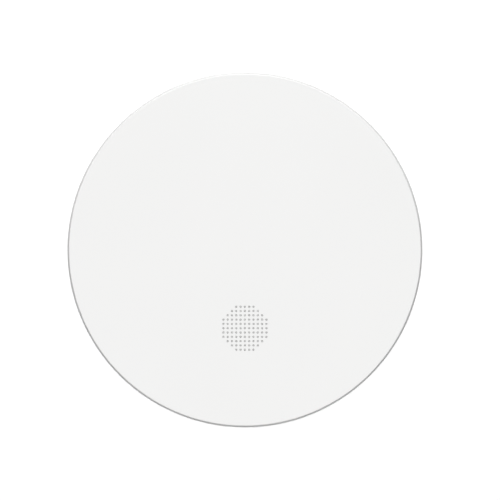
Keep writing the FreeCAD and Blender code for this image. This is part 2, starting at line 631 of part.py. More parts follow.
def add_shell(body):
    """The dished back: floor, swelling side wall, and the skirt that hides the mounting plate."""
    profile = sketch_on(body, "rear_profile", "XZ_Plane")
    curve = ("ccw", "x", f"{HOUSING_RADIUS} - side_curve_radius")
    outline(profile, [
        ("0", FLOOR_LOW), (RECESS_RADIUS, FLOOR_LOW), (RECESS_RADIUS, "ceiling_gap"),
        (FOOT_RADIUS, "ceiling_gap", curve), (HOUSING_RADIUS, JOINT), (HOUSING_INNER, JOINT),
        (HOUSING_INNER, FLOOR_TOP), ("0", FLOOR_TOP)])
    revolve(body, "rear_shell", profile)


def add_lugs(body):
    """Bayonet lugs that hang on the tabs of the mounting plate."""
    lug = sketch_on(body, "lug_profile", "XZ_Plane")
    outline(lug, rectangle(LUG_RADIUS, f"{LUG_TOP} - lug_thickness",
                           f"{RECESS_RADIUS} + join_overlap", LUG_TOP))
    first = revolve(body, "lug", lug, "lug_angle")
    repeat_round(body, "lugs", [first], "bayonet_count")


def add_battery_bay(body):
    """A half-round bay open to the back, a collar with the hinge trough, and slots for the contacts."""
    collar = sketch_on(body, "collar_outline", "XY_Plane", lift=FLOOR_TOP)
    outline(collar, rectangle(
        f"-{OPENING_END} - collar_wall", f"{TROUGH_SOUTH} - collar_wall",
        f"{OPENING_END} + collar_wall", f"{OPENING_NORTH} + collar_wall"))
    pad(body, "collar", collar, "collar_height")

    outside = sketch_on(body, "bay_outside", "YZ_Plane")
    outline(outside, tunnel(f"({BAY_BORE} + bay_wall)", FLOOR_TOP))
    pad(body, "bay", outside, f"2 * ({BAY_END} + bay_wall)", symmetric=True)

    inside = sketch_on(body, "bay_inside", "YZ_Plane")
    outline(inside, tunnel(BAY_BORE, "ceiling_gap"))
    pocket(body, "bay_hollow", inside, f"2 * {BAY_END}", symmetric=True)

    opening = sketch_on(body, "hatch_opening_outline", "XY_Plane", lift=FLOOR_TOP)
    outline(opening, rectangle(f"-{OPENING_END}", TROUGH_SOUTH, OPENING_END, OPENING_NORTH))
    pocket(body, "hatch_opening", opening)

    trough_top = f"{HINGE_Z} + barrel_radius + trough_gap"
    trough = sketch_on(body, "trough_outline", "XY_Plane", lift=trough_top)
    outline(trough, rectangle(f"-{OPENING_END}", TROUGH_SOUTH, OPENING_END, BAY_SOUTH))
    pocket(body, "hinge_trough", trough)

    stub_hole = sketch_on(body, "stub_hole_outline", "YZ_Plane")
    circle(stub_hole, HINGE_Y, HINGE_Z, "stub_radius + stub_gap")
    pocket(body, "stub_holes", stub_hole, f"2 * ({OPENING_END} + stub_length)", symmetric=True)

    pull_top = f"{FLOOR_LOW} + pull_thickness + hatch_gap"
    pull = sketch_on(body, "pull_recess_outline", "XY_Plane", lift=pull_top)
    outline(pull, rectangle("-pull_width / 2 - hatch_gap", f"{OPENING_NORTH} - hatch_gap",
                            "pull_width / 2 + hatch_gap", f"{OPENING_NORTH} + pull_reach"))
    pocket(body, "pull_recess", pull)

    slot = sketch_on(body, "contact_slot_outline", "YZ_Plane")
    half_slot = "(contact_thickness / 2 + contact_slot_gap)"
    outline(slot, rectangle(
        "-cell_offset - contact_width / 2 - contact_slot_gap", f"{BRIDGE} - {half_slot}",
        "-cell_offset + contact_width / 2 + contact_slot_gap", f"{BRIDGE} + {half_slot}"))
    pocket(body, "contact_slots", slot, f"2 * ({BAY_END} + bay_wall + contact_slot_gap)", symmetric=True)


def add_board_posts(body):
    """Four posts with pilot holes that carry the circuit board."""
    posts = sketch_on(body, "post_outlines", "XY_Plane", lift=FLOOR_TOP)
    for x, y in post_places():
        circle(posts, x, y, "post_radius")
    pad(body, "board_posts", posts, "board_standoff")
    pilots = sketch_on(body, "pilot_outlines", "XY_Plane", lift=BOARD_LOW)
    for x, y in post_places():
        circle(pilots, x, y, "board_screw_radius - screw_bite")
    pocket(body, "board_pilots", pilots, "board_standoff")


def add_screw_bosses(body):
    """Three bosses for the screws that are driven in from the back."""
    boss = sketch_on(body, "boss_outline", "XY_Plane", lift=FLOOR_LOW, turn="boss_turn")
    circle(boss, BOSS_CIRCLE, "0", "boss_radius")
    first_boss = pad(body, "boss", boss, f"{BOSS_TOP} - {FLOOR_LOW}")
    repeat_round(body, "bosses", [first_boss], "boss_count")
    hole = sketch_on(body, "screw_hole_outline", "XY_Plane", lift=BOSS_TOP, turn="boss_turn")
    circle(hole, BOSS_CIRCLE, "0", "screw_radius + screw_hole_gap")
    first_hole = pocket(body, "screw_hole", hole)
    seat = sketch_on(body, "screw_seat_outline", "XY_Plane", lift=HEAD_SEAT, turn="boss_turn")
    circle(seat, BOSS_CIRCLE, "0", "screw_head_radius + screw_head_gap")
    first_seat = pocket(body, "screw_seat", seat)
    repeat_round(body, "screw_holes", [first_hole, first_seat], "boss_count")


def make_rear_housing():
    body = new_body("rear_housing")
    add_shell(body)
    add_lugs(body)
    add_battery_bay(body)
    add_board_posts(body)
    add_screw_bosses(body)


# Battery hatch and battery

def make_battery_hatch():
    """A thin door with a round hinge edge, two stubs, a finger pull and two cradle ribs."""
    body = new_body("battery_hatch")
    door = sketch_on(body, "hatch_profile", "YZ_Plane")
    outline(door, [
        (HINGE_Y, FLOOR_LOW), (f"{OPENING_NORTH} - hatch_gap", FLOOR_LOW),
        (f"{OPENING_NORTH} - hatch_gap", f"{FLOOR_LOW} + hatch_thickness"),
        (HINGE_Y, f"{FLOOR_LOW} + hatch_thickness")])
    pad(body, "hatch_door", door, f"2 * ({OPENING_END} - hatch_gap)", symmetric=True)
    barrel = sketch_on(body, "barrel_outline", "YZ_Plane")
    circle(barrel, HINGE_Y, HINGE_Z, "barrel_radius")
    pad(body, "hinge_barrel", barrel, f"2 * ({OPENING_END} - hatch_gap)", symmetric=True)
    stub = sketch_on(body, "stub_outline", "YZ_Plane")
    circle(stub, HINGE_Y, HINGE_Z, "stub_radius")
    pad(body, "hinge_stubs", stub, f"2 * ({OPENING_END} - hatch_gap + stub_length)", symmetric=True)
    pull = sketch_on(body, "pull_outline", "XY_Plane", lift=FLOOR_LOW)
    outline(pull, rectangle("-pull_width / 2", f"{OPENING_NORTH} - hatch_gap - join_overlap",
                            "pull_width / 2", f"{OPENING_NORTH} + pull_reach - hatch_gap"))
    pad(body, "finger_pull", pull, "pull_thickness")
    cradle = sketch_on(body, "cradle_outline", "XY_Plane", lift=f"{FLOOR_LOW} + hatch_thickness")
    for side in ("-", "+"):
        outline(cradle, square_about("0", f"(-cell_offset {side} cradle_offset)",
                                     "cradle_length", "cradle_width"))
    pad(body, "cradle_ribs", cradle, "cradle_height")


def make_battery():
    """A round cell that lies along X, button towards +X."""
    body = new_body("battery", x=f"{BAY_END} - positive_room - cell_length", y="-cell_offset", z=CELL_AXIS)
    profile = sketch_on(body, "cell_profile", "XZ_Plane")
    shoulder = "cell_length - cell_button_height"
    round_edge = "cell_button_height"
    outline(profile, [
        ("0", "0"), ("0", f"cell_radius - {round_edge}", ("cw", "x", round_edge)),
        (round_edge, "cell_radius"), (f"{shoulder} - {round_edge}", "cell_radius",
                                      ("cw", "x", f"{shoulder} - {round_edge}")),
        (shoulder, f"cell_radius - {round_edge}"), (shoulder, "cell_button_radius"),
        ("cell_length", "cell_button_radius"), ("cell_length", "0")])
    feature = body.newObject("PartDesign::Revolution", "cell")
    feature.Profile = profile
    feature.ReferenceAxis = (profile, ["H_Axis"])
    feature.Angle = 360


def sweep_strip(body, name, route, low):
    """Carry the rectangular section of a sheet strip along a bent route in the XZ plane."""
    path = sketch_on(body, f"{name}_route", "XZ_Plane")
    outline(path, route, closed=False)
    section = sketch_on(body, f"{name}_section", "XY_Plane", lift=low)
    outline(section, square_about(route[0][0], "0", "contact_thickness", "contact_width"))
    feature = body.newObject("PartDesign::AdditivePipe", name)
    feature.Profile = section
    feature.Spine = (path, [])
    feature.Transition = "Right corner"


def make_battery_contacts():
    """Sheet metal contacts: each stands on the board, crosses the end wall and hangs down in the bay."""
    plate = f"({BAY_END} - positive_room / 2)"
    foot = f"{CELL_AXIS} - contact_foot_drop"
    positive = new_body("battery_contact_positive", y="-cell_offset")
    sweep_strip(positive, "positive_strip", [
        (CONTACT_LEG, BOARD_TOP), (CONTACT_LEG, BRIDGE), (plate, BRIDGE), (plate, foot)], BOARD_TOP)

    negative = new_body("battery_contact_negative", y="-cell_offset")
    back = f"-({BAY_END} - contact_thickness)"
    tip = f"-({BAY_END} - negative_room + contact_thickness)"
    sweep_strip(negative, "negative_strip", [
        (f"-{CONTACT_LEG}", BOARD_TOP), (f"-{CONTACT_LEG}", BRIDGE), (back, BRIDGE), (back, foot),
        (tip, f"{CELL_AXIS} - contact_thickness"),
        (f"{tip} - contact_thickness", f"{CELL_AXIS} + contact_tail_rise")], BOARD_TOP)


# Screws

def make_housing_screws():
    """Three screws that hold the two housings together, driven in from the back."""
    body = new_body("housing_screws", z=HEAD_SEAT, turn="boss_turn")
    profile = sketch_on(body, "housing_screw_profile", "XZ_Plane", x=BOSS_CIRCLE)
    outline(profile, [
        ("0", "-screw_head_height"), ("screw_head_radius / 2", "-screw_head_height", ("ccw", "y", "0")),
        ("screw_head_radius", "0"), ("screw_radius", "0"),
        ("screw_radius", "screw_length - screw_radius"), ("0", "screw_length")])
    first = revolve(body, "housing_screw", profile)
    cross = sketch_on(body, "housing_screw_recess", "XY_Plane", x=BOSS_CIRCLE, lift="-screw_head_height")
    outline(cross, cross_corners())
    recess = pocket(body, "housing_screw_drive", cross, "drive_depth", forward=True)
    repeat_round(body, "housing_screw_set", [first, recess], "boss_count")


def cross_corners():
    """The twelve corners of a cross recess."""
    arm, half = "drive_radius", "drive_width / 2"
    quarter = [(arm, half), (half, half), (half, arm)]
    corners = []
    for sign_x, sign_y in (("", ""), ("-", ""), ("-", "-"), ("", "-")):
        points = [(f"{sign_x}({x})", f"{sign_y}({y})") for x, y in quarter]
        corners += points if sign_x == sign_y else points[::-1]
    return corners


def make_board_screws():
    """Four screws that hold the circuit board on its posts, heads towards the front."""
    body = new_body("board_screws", z=BOARD_TOP)
    for index, (x, y) in enumerate(post_places(), 1):
        profile = sketch_on(body, f"board_screw_profile_{index}", "XZ_Plane", x=x, lift=f"-({y})")
        outline(profile, [
            ("0", "-board_screw_length"),
            ("board_screw_radius", "-board_screw_length + board_screw_radius"),
            ("board_screw_radius", "0"), ("board_screw_head_radius", "0", ("ccw", "y", "0")),
            ("board_screw_head_radius / 2", "board_screw_head_height"), ("0", "board_screw_head_height")])
        revolve(body, f"board_screw_{index}", profile)


# Circuit board and what stands on it

def make_circuit_board():
    """A round board with a cut-out for the battery bay and four screw holes."""
    body = new_body("circuit_board")
    blank = sketch_on(body, "board_outline", "XY_Plane", lift=BOARD_LOW)
    circle(blank, "0", "0", BOARD_RADIUS)
    pad(body, "board_blank", blank, "board_thickness")
    cutout = sketch_on(body, "board_cutout_outline", "XY_Plane", lift=BOARD_TOP)
    half_length = f"({BAY_END} + bay_wall + board_cutout_gap)"
    outline(cutout, rectangle(f"-{half_length}", f"{BAY_OUTER_SOUTH} - board_cutout_gap",
                              half_length, f"{BAY_OUTER_NORTH} + board_cutout_gap"))
    for x, y in post_places():
        circle(cutout, x, y, "board_screw_radius + screw_hole_gap")
    pocket(body, "board_cutouts", cutout)


def make_microcontroller():
    body = new_body("microcontroller", x="chip_across", y="-chip_along", z=BOARD_TOP)
    case = sketch_on(body, "chip_outline", "XY_Plane")
    outline(case, [
        ("-chip_width / 2", "-chip_width / 2"), ("chip_width / 2", "-chip_width / 2"),
        ("chip_width / 2", "chip_width / 2"), ("-chip_width / 2 + chip_bevel", "chip_width / 2"),
        ("-chip_width / 2", "chip_width / 2 - chip_bevel")])
    pad(body, "chip", case, "chip_height")


def make_chip_resistors():
    """Two rows of small chips, each a separate solid."""
    body = new_body("chip_resistors", x="resistor_across", y="resistor_along", z=BOARD_TOP)
    chips = sketch_on(body, "resistor_outlines", "XY_Plane")
    for row in range(int(value("resistor_rows"))):
        for column in range(int(value("resistor_columns"))):
            outline(chips, square_about(f"{column} * resistor_pitch", f"{row} * resistor_pitch",
                                        "resistor_width", "resistor_length"))
    pad(body, "resistors", chips, "resistor_height")


def make_capacitors():
    """Two electrolytic cans with a crimp groove and a rounded top."""
    body = new_body("capacitors", x="-capacitor_across", y="-capacitor_along", z=BOARD_TOP)
    for index, step in enumerate(("0", "capacitor_pitch")):
        profile = sketch_on(body, f"can_profile_{index + 1}", "XZ_Plane", x=step, lift=step)
        waist = "capacitor_radius - capacitor_crimp"
        outline(profile, [
            ("0", "0"), ("capacitor_radius", "0"),
            ("capacitor_radius", "capacitor_crimp_rise - capacitor_crimp"),
            (waist, "capacitor_crimp_rise"),
            ("capacitor_radius", "capacitor_crimp_rise + capacitor_crimp"),
            ("capacitor_radius", "capacitor_height - capacitor_crimp", ("ccw", "x", waist)),
            (waist, "capacitor_height"), ("0", "capacitor_height")])
        revolve(body, f"can_{index + 1}", profile)


def make_sounder_coil():
    """A drum core with its winding between two flanges."""
    body = new_body("sounder_coil", x="coil_across", y="-coil_along", z=BOARD_TOP)
    profile = sketch_on(body, "coil_profile", "XZ_Plane")
    waist = "coil_radius - coil_winding_depth"
    outline(profile, [
        ("0", "0"), ("coil_radius", "0"), ("coil_radius", "coil_flange"), (waist, "coil_flange"),
        (waist, "coil_height - coil_flange"), ("coil_radius", "coil_height - coil_flange"),
        ("coil_radius", "coil_height"), ("0", "coil_height")])
    revolve(body, "coil", profile)


# Smoke chamber

def make_chamber_base():
    """Floor with a ring of elbow-shaped vanes that let smoke in and keep light out, and two holders."""
    body = new_body("chamber_base", y=CHAMBER_Y)
    profile = sketch_on(body, "chamber_floor_profile", "XZ_Plane")
    lip = "chamber_radius - flange_lip"
    lip_top = f"{CHAMBER_FLOOR_TOP} + flange_lip_height"
    outline(profile, [
        ("0", BOARD_TOP), ("chamber_radius", BOARD_TOP), ("chamber_radius", lip_top), (lip, lip_top),
        (lip, CHAMBER_FLOOR_TOP), ("0", CHAMBER_FLOOR_TOP)])
    revolve(body, "chamber_floor_disc", profile)

    vane = sketch_on(body, "vane_outline", "XY_Plane", lift=CHAMBER_FLOOR_TOP)
    inner = f"({VANE_OUTER} - vane_depth)"
    elbow = f"({VANE_OUTER} - vane_depth / 2)"
    outline(vane, [
        (inner, "0"), (elbow, "vane_swing"), (VANE_OUTER, "0"), (VANE_OUTER, "vane_thickness"),
        (elbow, "vane_swing + vane_thickness"), (inner, "vane_thickness")])
    first = pad(body, "vane", vane, f"{CAP_LOW} - {CHAMBER_FLOOR_TOP}")
    repeat_round(body, "vanes", [first], "vane_count")

    for name, turn in (("emitter", "-optic_turn"), ("receiver", "-180 + optic_turn")):
        holder = sketch_on(body, f"{name}_holder_outline", "XY_Plane", lift=CHAMBER_FLOOR_TOP, turn=turn)
        half = "(optic_radius + optic_gap + holder_wall)"
        outline(holder, rectangle("optic_inner", f"-{half}", "optic_inner + holder_length", half))
        pad(body, f"{name}_holder", holder, f"optic_height + {half}")
        bore = sketch_on(body, f"{name}_bore_outline", "XY_Plane", lift=f"{OPTIC_AXIS} + {half}", turn=turn)
        channel = "(optic_radius + optic_gap)"
        outline(bore, rectangle("optic_inner - cut_margin", f"-{channel}",
                                "optic_inner + optic_length + cut_margin", channel))
        pocket(body, f"{name}_channel", bore, f"{half} + {channel}")
        leads = sketch_on(body, f"{name}_lead_outline", "XY_Plane", lift=CHAMBER_FLOOR_TOP, turn=turn)
        side = "(optic_lead_pitch / 2 + optic_lead_width / 2 + optic_gap)"
        outline(leads, rectangle("optic_inner + optic_length - optic_lead_width - optic_gap", f"-{side}",
                                 "optic_inner + optic_length + optic_gap", side))
        pocket(body, f"{name}_lead_slot", leads)


def make_chamber_cap():
    """Lid of the smoke chamber, with a lip that centres the screen."""
    body = new_body("chamber_cap", y=CHAMBER_Y)
    profile = sketch_on(body, "cap_profile", "XZ_Plane")
    lip = "chamber_radius - flange_lip"
    lip_low = f"{CAP_LOW} - flange_lip_height"
    edge = "chamber_radius - flange_lip_height"
    outline(profile, [
        ("0", CAP_LOW), (lip, CAP_LOW), (lip, lip_low), ("chamber_radius", lip_low),
        ("chamber_radius", f"{CHAMBER_TOP} - flange_lip_height", ("ccw", "x", edge)),
        (edge, CHAMBER_TOP), ("0", CHAMBER_TOP)])
    revolve(body, "cap", profile)


def make_insect_screen():
    """A thin sleeve with two rows of windows round the vanes."""
    body = new_body("insect_screen", y=CHAMBER_Y)
    profile = sketch_on(body, "screen_profile", "XZ_Plane")
    outline(profile, rectangle(SCREEN_INNER, CHAMBER_FLOOR_TOP, SCREEN_OUTER, CAP_LOW))
    revolve(body, "screen_sleeve", profile)
    window = sketch_on(body, "window_outline", "YZ_Plane", lift=f"{SCREEN_INNER} - cut_margin")
    middle = f"(({CHAMBER_FLOOR_TOP} + {CAP_LOW}) / 2)"
    half = "screen_window_width / 2"
    low_bar = f"{CHAMBER_FLOOR_TOP} + screen_bar"
    outline(window, rectangle(f"-{half}", low_bar, half, f"{middle} - screen_bar / 2"))
    outline(window, rectangle(f"-{half}", f"{middle} + screen_bar / 2", half, f"{CAP_LOW} - screen_bar"))
    first = pocket(body, "windows", window, "screen_thickness + 2 * cut_margin", forward=True)
    repeat_round(body, "screen_windows", [first], "screen_columns")


def make_optic(name, turn, nose):
    """A small round package that lies along X before it is turned, with two leads down to the board."""
    body = new_body(name, y=CHAMBER_Y, turn=turn)
    profile = sketch_on(body, f"{name}_profile", "XZ_Plane", y=OPTIC_AXIS)
    back = "optic_inner + optic_length"
    shoulder = f"optic_inner + {nose}"
    outline(profile, [
        (back, "0"), (back, "optic_radius"), (shoulder, "optic_radius", ("ccw", "x", shoulder)),
        ("optic_inner", f"optic_radius - {nose}"), ("optic_inner", "0")])
    feature = body.newObject("PartDesign::Revolution", f"{name}_case")
    feature.Profile = profile
    feature.ReferenceAxis = (profile, ["H_Axis"])
    feature.Angle = 360
    leads = sketch_on(body, f"{name}_leads_outline", "XY_Plane", lift=BOARD_TOP)
    for side in ("-", ""):
        outline(leads, square_about(f"({back} - optic_lead_width / 2)", f"({side}optic_lead_pitch / 2)",
                                    "optic_lead_width", "optic_lead_width"))
    pad(body, f"{name}_leads", leads, f"{OPTIC_AXIS} - {BOARD_TOP}")


# Sounder

def make_sounder_horn():
    """A round housing with the shelf for the disc, an air space, a throat and a flared mouth."""
    body = new_body("sounder_horn", y=SOUNDER_Y)
    profile = sketch_on(body, "horn_profile", "XZ_Plane")
    inner = "sounder_radius - sounder_wall"
    shelf = f"{inner} - sounder_shelf_width"
    ceiling = f"({SHELF_LOW} + resonator_height)"
    shoulder = f"({ceiling} + sounder_wall)"
    mouth_top = f"({DECK_LOW} - mouth_gap)"
    outline(profile, [
        (inner, BOARD_TOP), ("sounder_radius", BOARD_TOP), ("sounder_radius", shoulder),
        ("throat_radius + sounder_wall", shoulder, ("cw", "y", shoulder)),
        ("mouth_radius + sounder_wall", mouth_top), ("mouth_radius", mouth_top, ("ccw", "y", shoulder)),
        ("throat_radius", shoulder), ("throat_radius", ceiling), (shelf, ceiling), (shelf, SHELF_LOW),
        (inner, SHELF_LOW)])
    revolve(body, "horn", profile)


def make_sounder_disc():
    body = new_body("sounder_disc", y=SOUNDER_Y)
    blank = sketch_on(body, "disc_outline", "XY_Plane", lift=DISC_LOW)
    circle(blank, "0", "0", "sounder_radius - sounder_wall - disc_gap")
    pad(body, "brass_disc", blank, "disc_thickness")


def make_sounder_ceramic():
    body = new_body("sounder_ceramic", y=SOUNDER_Y)
    blank = sketch_on(body, "ceramic_outline", "XY_Plane", lift=DISC_LOW)
    circle(blank, "0", "0", "ceramic_radius")
    pad(body, "ceramic", blank, "ceramic_thickness", down=True)


def make_sounder_contacts():
    """Three spring strips that stand on the board and touch the ceramic."""
    body = new_body("sounder_contacts", y=SOUNDER_Y)
    side = sketch_on(body, "strip_side", "XZ_Plane")
    thick = "spring_strip_thickness"
    tip = f"{DISC_LOW} - ceramic_thickness - spring_strip_play"
    front = f"spring_strip_inner + {thick}"
    outline(side, [
        ("spring_strip_outer", BOARD_TOP), ("spring_strip_outer", f"{BOARD_TOP} + {thick}"),
        (front, f"{BOARD_TOP} + {thick}"), (front, tip),
        ("spring_strip_inner", tip), ("spring_strip_inner", BOARD_TOP)])
    first = pad(body, "strip", side, "spring_strip_width", symmetric=True)
    repeat_round(body, "strips", [first], "spring_strip_count")


# Light

def make_status_led():
    body = new_body("status_led", y=LED_Y)
    case = sketch_on(body, "led_outline", "XY_Plane", lift=BOARD_TOP)
    outline(case, square_about("0", "0", "led_length", "led_width"))
    pad(body, "led_case", case, "led_height")
    lens = sketch_on(body, "led_lens_outline", "XY_Plane", lift=f"{BOARD_TOP} + led_height")
    circle(lens, "0", "0", "led_lens_radius")
    pad(body, "led_lens", lens, "led_lens_height")


def make_light_guide():
    """A clear rod that carries the status light up through the deck, hung on its flange."""
    body = new_body("light_guide", y=LED_Y)
    profile = sketch_on(body, "guide_profile", "XZ_Plane")
    low = f"{BOARD_TOP} + led_height + led_lens_height + guide_gap"
    top = f"{COVER_LOW} - cover_travel - gauze_thickness - guide_top_gap"
    outline(profile, [
        ("0", low), ("guide_radius", low), ("guide_radius", f"{DECK_TOP} - guide_flange_height"),
        ("guide_flange_radius", f"{DECK_TOP} - guide_flange_height"), ("guide_flange_radius", DECK_TOP),
        ("guide_radius", DECK_TOP), ("guide_radius", top), ("0", top)])
    revolve(body, "guide", profile)


# Test switch

def make_test_switch_body():
    """A square switch case with a round well for its plunger and four feet."""
    body = new_body("test_switch_body", x="-switch_offset")
    case = sketch_on(body, "switch_outline", "XY_Plane", lift=BOARD_TOP)
    outline(case, square_about("0", "0", "switch_width", "switch_width"))
    pad(body, "switch_case", case, "switch_height")
    feet = sketch_on(body, "switch_feet_outline", "XY_Plane", lift=BOARD_TOP)
    for side in ("-", "+"):
        outline(feet, rectangle(
            "-switch_width / 2 - switch_foot", f"{side}switch_foot_offset - switch_foot / 2",
            "switch_width / 2 + switch_foot", f"{side}switch_foot_offset + switch_foot / 2"))
    pad(body, "switch_feet", feet, "switch_foot_height")
    well = sketch_on(body, "switch_well_outline", "XY_Plane", lift=SWITCH_TOP)
    circle(well, "0", "0", "plunger_radius + plunger_gap")
    pocket(body, "switch_well", well, "switch_well_depth")


def make_test_switch_plunger():
    body = new_body("test_switch_plunger", x="-switch_offset")
    stem = sketch_on(body, "plunger_outline", "XY_Plane", lift=PLUNGER_TOP)
    circle(stem, "0", "0", "plunger_radius")
    pad(body, "plunger", stem, "plunger_rise + plunger_depth", down=True)


# Inlet housing

def turned_rectangle(x, length, width, turn):
    """The four corners of a rectangle about (x, 0), turned in its own plane."""
    corners = []
    for along, across in (("-", "-"), ("", "-"), ("", ""), ("-", "")):
        u = f"({along}{length} / 2)"
        v = f"({across}{width} / 2)"
        corners.append((f"{x} + {u} * cos({turn}) - {v} * sin({turn})",
                        f"{u} * sin({turn}) + {v} * cos({turn})"))
    return corners


def add_inlet_shell(body):
    """The inlet ring with its spigot, closed by the deck at the front."""
    profile = sketch_on(body, "inlet_profile", "XZ_Plane")
    spigot_radius = f"{HOUSING_INNER} - spigot_gap"
    edge = f"{INLET_RADIUS} - inlet_edge"
    outline(profile, [
        (INLET_INNER, BOSS_TOP), (spigot_radius, BOSS_TOP), (spigot_radius, JOINT), (INLET_RADIUS, JOINT),
        (INLET_RADIUS, f"{DECK_TOP} - inlet_edge", ("ccw", "x", edge)), (edge, DECK_TOP), ("0", DECK_TOP),
        ("0", DECK_LOW), (INLET_INNER, DECK_LOW)])
    revolve(body, "inlet_shell", profile)


def add_louvres(body):
    """Skewed openings all round: smoke passes between the slats, and nobody sees in along the radius."""
    slot = sketch_on(body, "louvre_outline", "XY_Plane", lift=f"{DECK_LOW} - louvre_head")
    middle = f"({INLET_RADIUS} - inlet_wall / 2)"
    length = "((inlet_wall + 2 * cut_margin) / cos(louvre_skew) + louvre_width * tan(louvre_skew))"
    outline(slot, turned_rectangle(middle, length, "louvre_width", "louvre_skew"))
    first = pocket(body, "louvre", slot, "inlet_height - louvre_head - louvre_sill")
    repeat_round(body, "louvres", [first], "louvre_count")


def add_inlet_bosses(body):
    """Pilot bosses for the housing screws, behind the inlet openings."""
    boss = sketch_on(body, "inlet_boss_outline", "XY_Plane", lift=BOSS_TOP, turn="boss_turn")
    circle(boss, BOSS_CIRCLE, "0", "boss_radius - screw_hole_gap")
    first_boss = pad(body, "inlet_boss", boss, f"{DECK_LOW} - {BOSS_TOP}")
    pilot = sketch_on(body, "inlet_pilot_outline", "XY_Plane", lift=BOSS_TOP, turn="boss_turn")
    circle(pilot, BOSS_CIRCLE, "0", "screw_radius - screw_bite")
    depth = f"{HEAD_SEAT} + screw_length + screw_tip_room - {BOSS_TOP}"
    first_pilot = pocket(body, "inlet_pilot", pilot, depth, forward=True)
    repeat_round(body, "inlet_bosses", [first_boss, first_pilot], "boss_count")


def add_spring_cups(body):
    """Three cups that hang under the deck and hold the cover springs."""
    cup = sketch_on(body, "cup_outline", "XY_Plane", lift=DECK_LOW, turn="boss_turn")
    circle(cup, SPRING_CIRCLE, "0", "cup_radius")
    first_cup = pad(body, "cup", cup, f"{DECK_LOW} - {CUP_SEAT} + cup_floor", down=True)
    hollow = sketch_on(body, "cup_hollow_outline", "XY_Plane", lift=DECK_TOP, turn="boss_turn")
    circle(hollow, SPRING_CIRCLE, "0", "cup_radius - cup_wall")
    first_hollow = pocket(body, "cup_hollow", hollow, "cup_depth")
    repeat_round(body, "cups", [first_cup, first_hollow], "boss_count")


def add_deck_openings(body):
    """Windows for the snap hooks, and openings for the horn, the light guide and the switch post."""
    window = sketch_on(body, "hook_window_outline", "XY_Plane", lift=DECK_TOP)
    half = "(hook_width / 2 + hook_window_gap)"
    outline(window, rectangle(f"{HOOK_RADIUS} - hook_thickness - hook_window_gap", f"-{half}",
                              f"{HOOK_RADIUS} + hook_window_gap", half))
    first = pocket(body, "hook_window", window, "deck_thickness")
    repeat_round(body, "hook_windows", [first], "bayonet_count")

    openings = sketch_on(body, "deck_openings_outline", "XY_Plane", lift=DECK_TOP)
    circle(openings, "0", SOUNDER_Y, "mouth_radius + mouth_margin")
    circle(openings, "0", LED_Y, "guide_radius + guide_side_gap")
    circle(openings, "-switch_offset", "0", "post_top_radius + post_hole_gap")
    pocket(body, "deck_openings", openings, "deck_thickness")
    flange = sketch_on(body, "guide_seat_outline", "XY_Plane", lift=DECK_TOP)
    circle(flange, "0", LED_Y, "guide_flange_radius + guide_side_gap")
    pocket(body, "guide_seat", flange, "guide_flange_height")

    bars = sketch_on(body, "guard_bar_outline", "XY_Plane", lift=DECK_LOW)
    reach = "(mouth_radius + mouth_margin + join_overlap)"
    outline(bars, rectangle(f"-{reach}", f"{SOUNDER_Y} - grille_bar_width / 2",
                            reach, f"{SOUNDER_Y} + grille_bar_width / 2"))
    pad(body, "guard_bar", bars, "deck_thickness")


def add_hold_down_ring(body):
    """A ring under the deck that keeps the chamber's cap down."""
    ring = sketch_on(body, "hold_down_outline", "XY_Plane", lift=DECK_LOW)
    circle(ring, "0", CHAMBER_Y, "cap_ring_radius")
    circle(ring, "0", CHAMBER_Y, "cap_ring_radius - cap_ring_wall")
    pad(body, "hold_down_ring", ring, f"{DECK_LOW} - {CHAMBER_TOP} - cap_ring_gap", down=True)


def make_inlet_housing():
    body = new_body("inlet_housing")
    add_inlet_shell(body)
    add_spring_cups(body)
    add_hold_down_ring(body)
    add_deck_openings(body)
    add_louvres(body)
    add_inlet_bosses(body)


# Front cover

def hole_places():
    """Steps of the square grid that lie inside the round field of holes."""
    pitch, reach = value("hole_pitch"), value("field_radius")
    most = int(reach / pitch)
    steps = range(-most, most + 1)
    return [(i, j) for i in steps for j in steps if math.hypot(i, j) * pitch <= reach]


def add_cover_shell(body):
    """A flat disc whose short skirt widens towards the ceiling, with a small round edge at the front."""
    profile = sketch_on(body, "cover_profile", "XZ_Plane")
    skirt_low = f"{FACE} - cover_skirt"
    inner = f"{COVER_RADIUS} - cover_wall"
    round_depth = "cover_edge * (1 - sin(cover_draft))"
    round_out = f"({COVER_RADIUS} - (cover_skirt - {round_depth}) * tan(cover_draft))"
    round_in = f"({round_out} - cover_edge * cos(cover_draft))"
    outline(profile, [
        ("0", COVER_LOW), (inner, COVER_LOW), (inner, skirt_low), (COVER_RADIUS, skirt_low),
        (round_out, f"{FACE} - {round_depth}", ("ccw", "x", round_in)), (round_in, FACE), ("0", FACE)])
    revolve(body, "cover_shell", profile)


